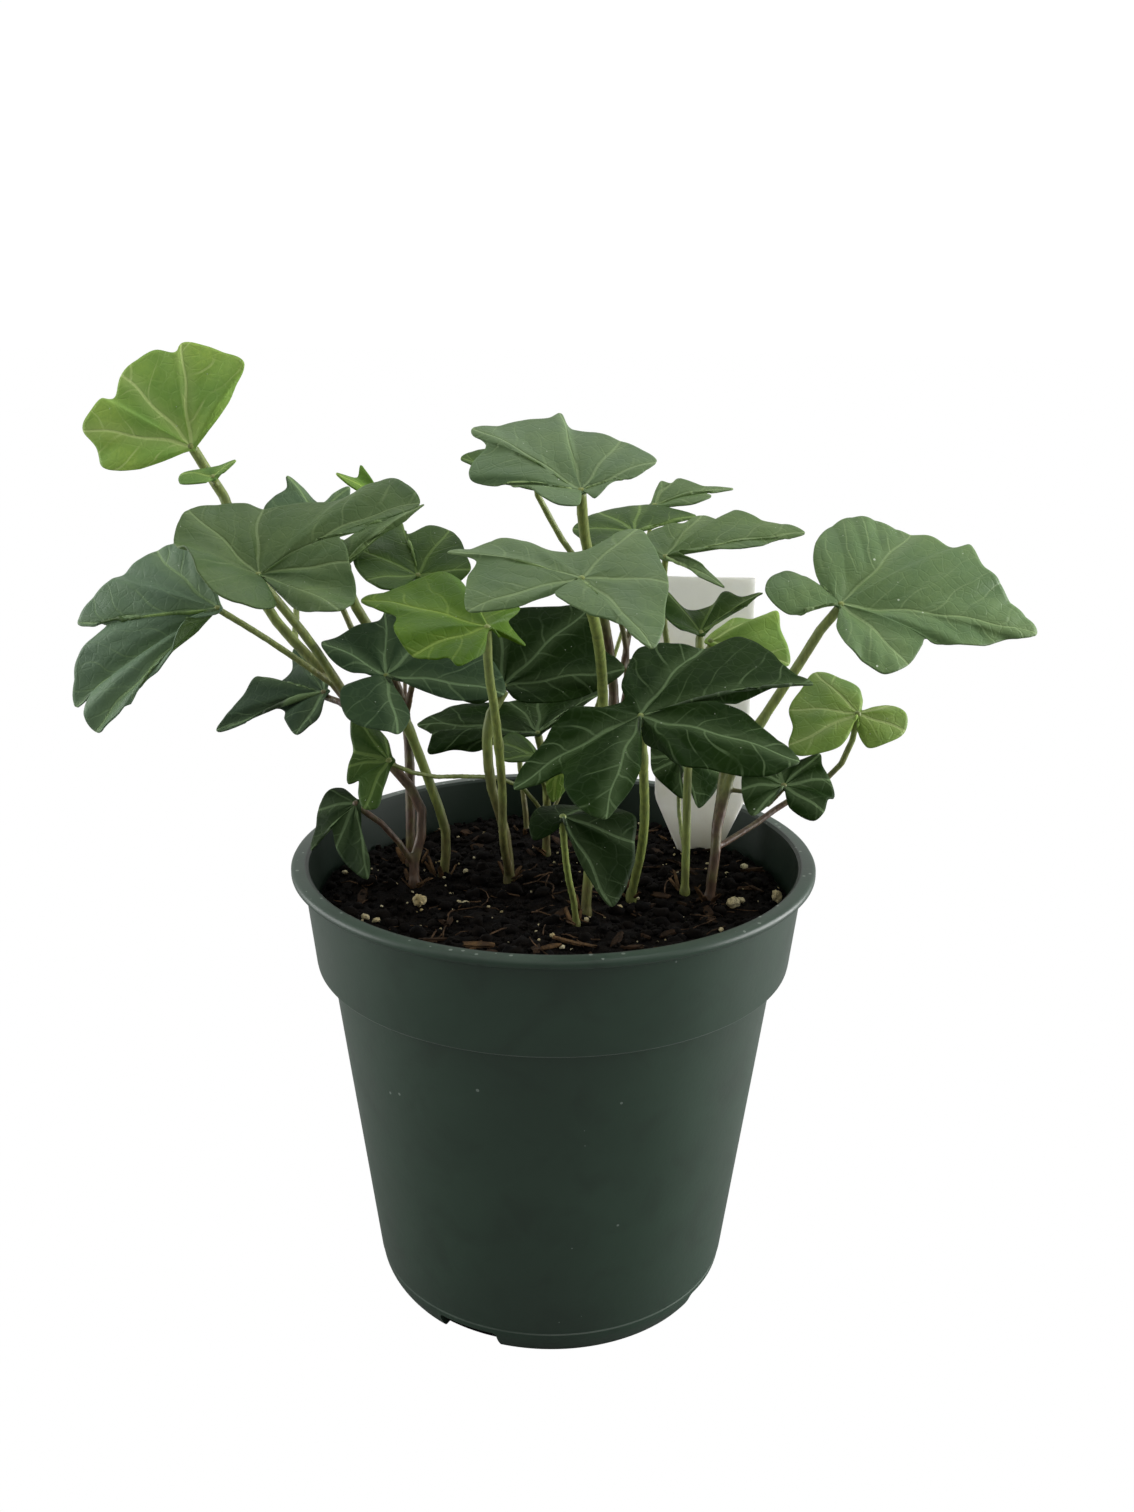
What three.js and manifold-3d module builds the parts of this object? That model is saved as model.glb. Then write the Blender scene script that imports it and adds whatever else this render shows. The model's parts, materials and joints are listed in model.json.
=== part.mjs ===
// Potted ivy: a young English ivy in a round thin-walled nursery pot, with a blank plant tag.
// Millimetres, +Z up. The origin is the centre of the pot's underside, -Y is the front.
import * as THREE from "three";
import { mergeVertices } from "three/addons/utils/BufferGeometryUtils.js";
import Module from "manifold-3d";

const wasm = await Module();
wasm.setup();

// ---- Driving dimensions ----
const POT_HEIGHT = 101;
const LIP_RADIUS = 57; // outer edge of the rolled lip
const LIP_HEIGHT = 2;
const LIP_OVERHANG = 2.5; // lip beyond the collar below it
const COLLAR_HEIGHT = 22.5; // lip top down to the collar's lower edge
const COLLAR_DRAFT = 2.3; // radius lost down the collar
const LEDGE_HEIGHT = 1; // slope of the undercut below the collar
const LEDGE_DEPTH = 3.2; // how far the collar stands out from the body
const FOOT_RADIUS = 40; // body radius where the foot starts
const FOOT_HEIGHT = 6.5;
const BASE_RADIUS = 37.5; // flat underside
const WALL = 1.2;
const FLOOR = 2;
const POT_SIDES = 40;

const DRAIN_WIDTH = 14;
const DRAIN_HEIGHT = 4.5;
const DRAIN_REACH = 5; // how far the slot cuts in from the base edge
const DRAIN_COUNT = 4;
const DRAIN_START = -117; // degrees

const SOIL_DROP = 9.5; // soil surface below the lip
const SEAT_GAP = 0.3; // between pieces that touch

const TAG_WIDTH = 21.5;
const TAG_HEIGHT = 66; // above the soil
const TAG_THICKNESS = 0.6;
const TAG_TAPER = 14; // height over which the foot of the tag narrows
const TAG_FOOT = 8; // width at the soil
const TAG_TURN = -2; // degrees
const TAG_WALL_CLEARANCE = 1.5;
const TAG_OUTER_X = 44.75; // the tag's right edge, nearest the wall

const PLANT_LIP_RADIUS = 57; // the lip radius that the plant's places are given for

const LEAF_THICKNESS = 0.5;
const LEAF_ARCH = 0.06; // height of a blade's arch as a share of its reach
const LEAF_HUB_RADIUS = 1.3; // blade left around the petiole joint
const EDGE_STEP = 7; // a longer side of an outline gets a point in its middle
const EDGE_SWELL = 0.07; // how far a side swells, as a share of its length

const LARGE_REACH = 22; // blades longer than this get a third ring of faces

const STEM_RADIUS = 1.2;
const PETIOLE_RADIUS = 0.8;
const FINE_RADIUS = 0.6;

const GRIT_SIZE = 3.4; // large perlite granules

const rad = THREE.MathUtils.degToRad;
const soilTop = POT_HEIGHT - SOIL_DROP;
const spread = LIP_RADIUS / PLANT_LIP_RADIUS; // a wider pot holds a wider plant

function material(color, roughness) {
  return new THREE.MeshStandardMaterial({ color, roughness, metalness: 0 });
}

const MATERIALS = {
  pot: material(0x2f3d34, 0.45),
  soil: material(0x1c1714, 0.95),
  tag: material(0xa6a498, 0.5),
  grit: material(0xd8cfae, 0.9),
  stem: material(0x5a4a3a, 0.6),
  petiole: material(0x6f8a3a, 0.5),
  dark: material(0x2b4030, 0.45),
  mid: material(0x44633a, 0.45),
  light: material(0x5c7a5a, 0.45),
  young: material(0x6a9a48, 0.45),
  lime: material(0x7aa04a, 0.45),
};

// ---- Solids ----
function toSolid(geometry) {
  const bare = geometry.index ? geometry.toNonIndexed() : geometry.clone();
  bare.deleteAttribute("normal");
  bare.deleteAttribute("uv");
  const welded = mergeVertices(bare, 1e-4);
  return new wasm.Manifold(new wasm.Mesh({
    numProp: 3,
    vertProperties: new Float32Array(welded.attributes.position.array),
    triVerts: new Uint32Array(welded.index.array),
  }));
}

function toGeometry(solid) {
  const mesh = solid.getMesh();
  const geometry = new THREE.BufferGeometry();
  geometry.setAttribute("position", new THREE.BufferAttribute(mesh.vertProperties, 3));
  geometry.setIndex(new THREE.BufferAttribute(mesh.triVerts, 1));
  geometry.computeVertexNormals();
  return geometry;
}

function piece(name, geometry, look) {
  const mesh = new THREE.Mesh(geometry, look);
  mesh.name = name;
  return mesh;
}

function lathe(outline, sides) {
  const points = outline.map(([radius, height]) => new THREE.Vector2(radius, height));
  const geometry = new THREE.LatheGeometry(points, sides);
  geometry.rotateX(Math.PI / 2);
  return geometry;
}

// ---- Pot ----
const collarTop = POT_HEIGHT - LIP_HEIGHT;
const collarBottom = POT_HEIGHT - COLLAR_HEIGHT;
const collarTopRadius = LIP_RADIUS - LIP_OVERHANG;
const collarBottomRadius = collarTopRadius - COLLAR_DRAFT;
const bodyTopRadius = collarBottomRadius - LEDGE_DEPTH;

// The pot's side from the collar down to the underside, as [radius, height]: its outside, or
// with a wall thickness, its inside.
function potSide(wall = 0) {
  const foot = [0.5, 1].map((share) => [
    THREE.MathUtils.lerp(FOOT_RADIUS, BASE_RADIUS, share * share) - wall,
    FOOT_HEIGHT * (1 - share),
  ]);
  return [
    [collarTopRadius - wall, collarTop],
    [collarBottomRadius - wall, collarBottom + wall],
    [bodyTopRadius - wall, collarBottom - LEDGE_HEIGHT + wall],
    [FOOT_RADIUS - wall, FOOT_HEIGHT],
    ...foot,
  ];
}

function potInside() {
  return potSide(WALL)
    .map(([radius, height]) => [radius, Math.max(height, FLOOR)])
    .filter(([, height], index, all) => index === 0 || height < all[index - 1][1]);
}

function radiusAt(profile, height) {
  for (let index = 1; index < profile.length; index += 1) {
    const [upperRadius, upperHeight] = profile[index - 1];
    const [lowerRadius, lowerHeight] = profile[index];
    if (height >= lowerHeight) {
      const share = (upperHeight - height) / (upperHeight - lowerHeight);
      return upperRadius + share * (lowerRadius - upperRadius);
    }
  }
  return profile[profile.length - 1][0];
}

function drainSlot(turn) {
  const slot = new THREE.BoxGeometry(DRAIN_REACH * 2, DRAIN_WIDTH, DRAIN_HEIGHT * 2);
  slot.translate(BASE_RADIUS, 0, 0);
  slot.rotateZ(rad(turn));
  return toSolid(slot);
}

function buildPot() {
  const inside = potInside();
  const outline = [
    [0, 0],
    ...potSide().reverse(),
    [LIP_RADIUS - 0.4, collarTop],
    [LIP_RADIUS, collarTop + LIP_HEIGHT * 0.4],
    [LIP_RADIUS - 0.3, POT_HEIGHT - 0.3],
    [LIP_RADIUS - 0.9, POT_HEIGHT],
    [collarTopRadius - WALL, POT_HEIGHT],
    ...inside,
    [0, FLOOR],
  ];
  let pot = toSolid(lathe(outline, POT_SIDES));
  for (let index = 0; index < DRAIN_COUNT; index += 1) {
    pot = pot.subtract(drainSlot(DRAIN_START + (360 / DRAIN_COUNT) * index));
  }
  return piece("pot", toGeometry(pot), MATERIALS.pot);
}

// ---- Soil and what lies on it ----
function buildSoil() {
  const wall = potInside().filter(([, height]) => height > FLOOR && height < soilTop);
  const topRadius = radiusAt(potInside(), soilTop);
  const bottom = FLOOR + SEAT_GAP;
  const bottomRadius = Math.min(radiusAt(potInside(), bottom), BASE_RADIUS - DRAIN_REACH);
  const outline = [
    [0, bottom],
    [bottomRadius - SEAT_GAP, bottom],
    ...wall.reverse().map(([radius, height]) => [radius - SEAT_GAP, height + SEAT_GAP]),
    [topRadius - SEAT_GAP, soilTop],
    [0, soilTop],
  ];
  return piece("soil", lathe(outline, POT_SIDES), MATERIALS.soil);
}

// Large perlite granules on the surface: across, back, size as a share of GRIT_SIZE.
const GRIT = {
  grit_left: [-29, -9, 1],
  grit_right: [39, -8, 0.9],
  grit_wall: [49, -4, 0.8],
};

function buildGrit() {
  return Object.entries(GRIT).map(([name, [across, back, share]]) => {
    const radius = (GRIT_SIZE * share) / 2;
    const granule = piece(name, new THREE.IcosahedronGeometry(radius, 1), MATERIALS.grit);
    granule.position.set(across * spread, back * spread, soilTop + radius + SEAT_GAP);
    return granule;
  });
}

function buildTag() {
  const corner = radiusAt(potInside(), soilTop) - TAG_WALL_CLEARANCE;
  const outerX = TAG_OUTER_X * spread;
  const card = new THREE.Shape([
    new THREE.Vector2(-TAG_FOOT / 2, 0),
    new THREE.Vector2(TAG_FOOT / 2, 0),
    new THREE.Vector2(TAG_WIDTH / 2, TAG_TAPER),
    new THREE.Vector2(TAG_WIDTH / 2, TAG_HEIGHT),
    new THREE.Vector2(-TAG_WIDTH / 2, TAG_HEIGHT),
    new THREE.Vector2(-TAG_WIDTH / 2, TAG_TAPER),
  ]);
  const geometry = new THREE.ExtrudeGeometry(card, { depth: TAG_THICKNESS, bevelEnabled: false });
  geometry.rotateX(Math.PI / 2);
  const tag = piece("plant_tag", geometry, MATERIALS.tag);
  tag.rotation.z = rad(TAG_TURN);
  const back = Math.sqrt(Math.max(corner ** 2 - outerX ** 2, 0));
  tag.position.set(outerX - TAG_WIDTH / 2, back, soilTop + SEAT_GAP);
  return tag;
}

// ---- Leaves ----
// hub: where the petiole meets the blade, from the middle of the soil surface.
// edge: the tips and notches of the blade's outline as heading (0 = +X, 90 = back), slope and
// reach from the hub, anticlockwise from above, from one side of the petiole to the other.
const LEAVES = {
  young_left: {
    look: "young",
    hub: [-78, 15, 95],
    edge: [[10, 45, 8], [12, 51, 16], [15, 55, 21], [37, 67, 21], [108, 73, 22], [124, 73, 20],
      [143, 63, 22], [165, 43, 21], [173, 31, 19], [177, 28, 21], [180, 8, 23], [183, -1, 20],
      [189, -13, 19], [194, -21, 13]],
  },
  large_left: {
    look: "light",
    hub: [-59, -14, 73],
    edge: [[-50, -20, 14], [-36, -11, 23], [-22, -9, 22], [-9, 9, 19], [7, 26, 18], [16, 22, 26],
      [20, 22, 36], [29, 29, 35], [44, 33, 24], [96, 37, 18], [123, 38, 20], [150, 32, 21],
      [177, 23, 18], [211, 22, 15], [253, -5, 15], [279, -16, 15], [299, -19, 12]],
  },
  drooping_left: {
    look: "mid",
    hub: [-70, -4, 64],
    edge: [[116, 50, 14], [133, 36, 20], [148, 17, 24], [153, 11, 25], [161, 10, 26],
      [169, -9, 32], [173, -10, 25], [176, -17, 30], [180, -27, 35], [181, -34, 38],
      [187, -34, 32], [195, -37, 35], [199, -42, 36], [204, -43, 34], [210, -41, 23],
      [228, -11, 8]],
  },
  low_left: {
    look: "dark",
    hub: [-52, 16, 41],
    edge: [[90, 13, 12], [128, 30, 15], [137, 14, 12], [150, 2, 14], [160, 7, 17], [171, -6, 19],
      [183, -14, 23], [184, -20, 26], [189, -17, 13], [189, -23, 10], [217, -25, 11],
      [245, -33, 13], [272, -28, 7]],
  },
  back_left: {
    look: "mid",
    hub: [-52, 18, 80],
    edge: [[29, 9, 6], [40, 35, 10], [89, 39, 4], [144, 51, 8], [164, 50, 11], [180, 43, 9],
      [205, 9, 12], [219, -2, 8]],
  },
  under_left: {
    look: "light",
    hub: [-44, 1, 73],
    edge: [[23, 32, 10], [26, 33, 21], [37, 34, 16], [47, 38, 12], [80, 44, 7], [180, 51, 3]],
  },
  bud_left: {
    look: "lime",
    hub: [-39, 28, 82],
    edge: [[28, 14, 2], [34, 37, 4], [101, 47, 3], [132, 42, 5], [143, 48, 10], [162, 38, 8],
      [186, 33, 12], [204, 27, 8], [217, 12, 3]],
  },
  mid_left: {
    look: "mid",
    hub: [-29, 3, 70],
    edge: [[-42, -16, 8], [-20, 10, 12], [5, 24, 11], [59, 36, 14], [84, 36, 15], [108, 37, 12],
      [111, 34, 17], [139, 28, 16], [168, 21, 15], [198, 9, 13], [237, -5, 12], [256, -8, 9]],
  },
  lime_front: {
    look: "lime",
    hub: [-13, -24, 65],
    edge: [[21, -37, 4], [21, -29, 9], [54, -2, 6], [57, 10, 11], [107, 20, 14], [124, 23, 20],
      [149, 11, 24], [162, 7, 27], [177, 6, 18], [200, -2, 18], [213, -12, 17], [240, -14, 14],
      [250, -18, 15], [270, -23, 8]],
  },
  dark_left: {
    look: "dark",
    hub: [-35, -8, 51],
    edge: [[-24, -16, 6], [-20, -16, 11], [-13, -13, 18], [-5, -7, 25], [16, 8, 22], [46, 25, 17],
      [96, 38, 18], [103, 37, 15], [143, 25, 15], [160, 22, 16], [175, 13, 11], [188, 7, 7],
      [203, 10, 3], [213, -2, 7], [221, -8, 11], [242, -21, 15], [276, -26, 17], [285, -26, 18],
      [301, -24, 13]],
  },
  dark_centre: {
    look: "dark",
    hub: [-11, 0, 47],
    edge: [[-51, -18, 7], [-9, -2, 19], [-4, 9, 26], [10, 19, 23], [31, 34, 26], [53, 42, 22],
      [76, 44, 20], [122, 36, 17], [148, 20, 16], [195, -3, 12], [228, -18, 8]],
  },
  low_centre: {
    look: "dark",
    hub: [-4, 16, 32],
    edge: [[32, 18, 6], [34, 23, 19], [90, 12, 16], [135, 9, 20], [157, 4, 25], [166, 0, 29],
      [171, -3, 25], [175, -3, 24], [187, -10, 25], [190, -10, 19], [193, -14, 15], [198, -10, 9]],
  },
  small_centre: {
    look: "mid",
    hub: [-4, 8, 29],
    edge: [[113, 24, 6], [133, 23, 9], [166, 14, 9], [202, 1, 8], [235, 1, 5]],
  },
  lime_low: {
    look: "lime",
    hub: [1, -1, 29],
    edge: [[-136, -38, 5], [-103, -47, 8], [-42, -45, 4]],
  },
  top: {
    look: "light",
    hub: [5, -4, 89],
    edge: [[-49, -17, 4], [12, 14, 7], [17, 12, 12], [24, 18, 18], [57, 30, 17], [96, 33, 20],
      [102, 33, 25], [110, 33, 23], [140, 26, 26], [151, 23, 28], [154, 21, 27], [156, 20, 23],
      [174, 6, 23], [176, 3, 22], [180, 3, 17], [183, 4, 13], [201, 3, 11], [237, -8, 10],
      [267, -12, 8]],
  },
  behind_top: {
    look: "mid",
    hub: [-4, 14, 87],
    edge: [[67, 18, 11], [110, 27, 16], [157, 25, 17], [170, 19, 18], [184, 18, 14], [215, 12, 9]],
  },
  front: {
    look: "light",
    hub: [5, -42, 78],
    edge: [[-127, -12, 8], [-85, -16, 13], [-66, -18, 16], [-58, -20, 24], [-28, -11, 17],
      [12, 9, 15], [50, 23, 18], [73, 23, 12], [97, 17, 11], [122, 14, 13], [139, 14, 21],
      [153, 9, 23], [163, 7, 26], [166, 6, 20], [188, -5, 21], [202, -12, 22], [216, -15, 13],
      [219, -17, 8]],
  },
  upper_right_small: {
    look: "light",
    hub: [22, 34, 81],
    edge: [[-35, 2, 5], [-23, 5, 10], [-4, 10, 13], [8, 14, 12], [13, 10, 19], [24, 18, 13],
      [53, 27, 11], [59, 28, 9], [75, 37, 8]],
  },
  upper_right_folded: {
    look: "mid",
    hub: [17, 20, 77],
    edge: [[23, 7, 5], [26, 10, 16], [48, 15, 14], [82, 20, 13], [131, 14, 12], [168, 1, 14],
      [194, -5, 12], [222, -10, 12], [242, -10, 8]],
  },
  upper_right: {
    look: "light",
    hub: [23, 6, 74],
    edge: [[-53, -12, 8], [-46, -13, 17], [-46, 21, 4], [-9, 15, 10], [-2, 7, 15], [3, 6, 20],
      [7, 8, 24], [11, 8, 31], [22, 15, 25], [37, 22, 21], [41, 21, 18], [56, 26, 17],
      [66, 30, 11], [110, 23, 10], [149, 17, 6]],
  },
  large_right: {
    look: "light",
    hub: [60, 2, 65],
    edge: [[-111, -31, 6], [-87, -31, 14], [-64, -34, 20], [-45, -31, 20], [-26, -22, 19],
      [-22, -17, 19], [-18, -18, 23], [-15, -16, 26], [-5, -11, 35], [-1, -8, 42], [8, 1, 37],
      [18, 11, 34], [26, 18, 35], [29, 19, 31], [44, 27, 27], [61, 34, 26], [83, 41, 23],
      [103, 43, 18], [126, 42, 12], [145, 30, 5], [148, 28, 10], [152, 26, 14], [169, 17, 16],
      [180, 7, 16], [198, -8, 12], [203, -6, 8]],
  },
  behind_right: {
    look: "young",
    hub: [34, 14, 54],
    edge: [[-36, -16, 11], [-16, -13, 18], [7, 9, 16], [19, 20, 17], [27, 19, 12], [49, 25, 9],
      [68, 23, 5]],
  },
  small_right: {
    look: "mid",
    hub: [31, 5, 58],
    edge: [[15, 26, 5], [19, 26, 10], [24, 24, 12], [27, 26, 17], [31, 26, 17], [37, 29, 13],
      [55, 37, 12], [69, 36, 8], [117, 34, 7], [146, 41, 12], [180, 26, 9], [220, 15, 6]],
  },
  dark_right: {
    look: "dark",
    hub: [17, -26, 48],
    edge: [[-75, -46, 6], [-67, -29, 10], [-61, -21, 17], [-48, -18, 21], [-38, -12, 30],
      [-26, -8, 33], [-15, -1, 24], [-4, 13, 15], [1, 9, 21], [3, 12, 27], [7, 10, 35],
      [15, 14, 32], [44, 21, 31], [54, 23, 25], [89, 27, 20], [105, 32, 12], [136, 27, 5],
      [165, 10, 8], [184, 4, 14], [200, -11, 21], [210, -21, 30], [222, -19, 22], [243, -22, 29],
      [255, -21, 31], [266, -20, 19]],
  },
  bright_right: {
    look: "young",
    hub: [66, 6, 40],
    edge: [[-94, -59, 4], [-71, -52, 8], [-33, -37, 9], [-6, -20, 11], [11, -2, 11], [27, 7, 9],
      [58, 3, 2], [80, 26, 9], [126, 25, 15], [149, 15, 14], [172, 2, 15], [191, -10, 15],
      [203, -18, 18], [213, -22, 18], [237, -31, 10]],
  },
  low_right: {
    look: "dark",
    hub: [49, -5, 27],
    edge: [[-84, -31, 6], [-57, -27, 11], [-43, -19, 11], [-25, -9, 10], [-10, -9, 11],
      [24, 19, 10], [39, 25, 12], [56, 30, 8], [136, 13, 7], [161, 11, 9], [205, -18, 10],
      [223, -24, 11], [239, -20, 4]],
  },
  behind_low_right: {
    look: "dark",
    hub: [28, 14, 27],
    edge: [[-66, -42, 13], [-46, -38, 12], [0, -19, 10], [39, -14, 8], [137, 17, 8], [199, -24, 7],
      [275, -47, 10]],
  },
  low_front: {
    look: "dark",
    hub: [2, -32, 29],
    edge: [[-79, -21, 3], [-67, -36, 8], [-54, -39, 21], [-32, -33, 18], [-8, -17, 15],
      [16, -5, 15], [49, -4, 11], [102, 0, 7], [152, 1, 6], [197, -12, 7], [221, -22, 8],
      [246, -26, 4]],
  },
  rim_left: {
    look: "dark",
    hub: [-43, -2, 21],
    edge: [[124, 13, 7], [144, 7, 8], [167, -13, 9], [193, -28, 10], [217, -37, 14], [225, -31, 8],
      [267, -44, 15], [286, -39, 19], [296, -49, 7]],
  },
  shoot: {
    look: "lime",
    hub: [-73, 12, 89],
    edge: [[-25, 22, 3], [12, 36, 6], [65, 43, 3], [129, 33, 3], [172, 5, 7], [196, -10, 7],
      [251, -16, 3]],
  },
  above_rim_left: {
    look: "mid",
    hub: [-35, -6, 32],
    edge: [[100, 37, 6], [144, 38, 13], [173, 12, 8], [205, -24, 10], [212, -23, 8],
      [246, -35, 13], [261, -38, 12], [264, -43, 7]],
  },
};

// Leaves at the back share one five-lobed outline: turn from the middle lobe, share of its reach.
const HALF_OUTLINE = [[22, 0.68], [46, 0.56], [72, 0.82], [96, 0.54], [122, 0.56], [152, 0.36]];

function lobedEdge(heading, slope, reach) {
  const point = (turn, share) => [heading + turn, slope * Math.cos(rad(turn)), reach * share];
  const right = HALF_OUTLINE.map(([turn, share]) => point(-turn, share)).reverse();
  return [...right, point(0, 1), ...HALF_OUTLINE.map(([turn, share]) => point(turn, share))];
}

Object.assign(LEAVES, {
  rear_left: { look: "mid", hub: [-61, 30, 71], edge: lobedEdge(110, -24, 24) },
  rear_middle: { look: "dark", hub: [-9, 39, 46], edge: lobedEdge(105, -22, 26) },
  rear_right: { look: "mid", hub: [33, 38, 43], edge: lobedEdge(70, -26, 24) },
});

function edgePoint([heading, slope, reach]) {
  const flat = reach * Math.cos(rad(slope));
  return new THREE.Vector3(
    flat * Math.cos(rad(heading)), flat * Math.sin(rad(heading)), reach * Math.sin(rad(slope)));
}

// The direction that the blade's upper face looks in.
function bladeUp(edge) {
  const up = new THREE.Vector3();
  for (let index = 1; index < edge.length; index += 1) {
    up.add(new THREE.Vector3().crossVectors(edge[index - 1], edge[index]));
  }
  return up.normalize();
}

// The whole outline: each side swells a little between its points, and the blade closes around
// the petiole joint on a small arc.
function bladeOutline(edge, up) {
  const outline = [];
  for (let index = 0; index + 1 < edge.length; index += 1) {
    const [from, to] = [edge[index], edge[index + 1]];
    const side = to.clone().sub(from);
    const out = side.clone().cross(up).normalize();
    const parts = side.length() > EDGE_STEP ? 2 : 1;
    for (let part = 0; part < parts; part += 1) {
      const share = part / parts;
      const swell = EDGE_SWELL * side.length() * 4 * share * (1 - share);
      outline.push(from.clone().lerp(to, share).addScaledVector(out, swell));
    }
  }
  const [first, last] = [edge[0], edge[edge.length - 1]];
  outline.push(last);
  const ahead = last.clone().projectOnPlane(up).normalize();
  const left = new THREE.Vector3().crossVectors(up, ahead);
  const open = (Math.atan2(first.dot(left), first.dot(ahead)) + 2 * Math.PI) % (2 * Math.PI);
  for (const share of [0.2, 0.5, 0.8]) {
    outline.push(ahead.clone().multiplyScalar(Math.cos(open * share))
      .addScaledVector(left, Math.sin(open * share)).multiplyScalar(LEAF_HUB_RADIUS));
  }
  return outline;
}

function bladeGeometry(leaf) {
  const edge = leaf.edge.map(edgePoint);
  const up = bladeUp(edge);
  const outline = bladeOutline(edge, up);
  const longest = Math.max(...edge.map((point) => point.length()));
  const rings = longest > LARGE_REACH ? [0.4, 0.75, 1] : [0.55, 1];
  const top = [new THREE.Vector3()];
  for (const ring of rings) {
    for (const point of outline) {
      const arch = LEAF_ARCH * point.length() * 4 * ring * (1 - ring);
      top.push(point.clone().multiplyScalar(ring).addScaledVector(up, arch));
    }
  }
  const count = outline.length;
  const at = (ring, spoke) => 1 + ring * count + (spoke % count);
  const faces = [];
  for (let spoke = 0; spoke < count; spoke += 1) {
    faces.push([0, at(0, spoke), at(0, spoke + 1)]);
    for (let ring = 0; ring + 1 < rings.length; ring += 1) {
      faces.push([at(ring, spoke), at(ring + 1, spoke), at(ring + 1, spoke + 1)]);
      faces.push([at(ring, spoke), at(ring + 1, spoke + 1), at(ring, spoke + 1)]);
    }
  }
  const normals = top.map(() => new THREE.Vector3());
  for (const face of faces) {
    const [a, b, c] = face.map((index) => top[index]);
    const normal = b.clone().sub(a).cross(c.clone().sub(a));
    face.forEach((index) => normals[index].add(normal));
  }
  const under = top.map((point, index) =>
    point.clone().addScaledVector(normals[index].normalize(), -LEAF_THICKNESS));
  const low = top.length;
  const rim = rings.length - 1;
  const walls = [];
  for (let spoke = 0; spoke < count; spoke += 1) {
    const [a, b] = [at(rim, spoke), at(rim, spoke + 1)];
    walls.push([low + a, low + b, b], [low + a, b, a]);
  }
  const indices = [...faces, ...faces.map(([a, b, c]) => [low + a, low + c, low + b]), ...walls];
  const geometry = new THREE.BufferGeometry().setFromPoints([...top, ...under]);
  geometry.setIndex(indices.flat());
  geometry.computeVertexNormals();
  return geometry;
}

function buildLeaves() {
  return Object.entries(LEAVES).map(([name, leaf]) => {
    const blade = piece(`leaf_${name}`, bladeGeometry(leaf), MATERIALS[leaf.look]);
    blade.position.set(...leaf.hub);
    return blade;
  });
}

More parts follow.
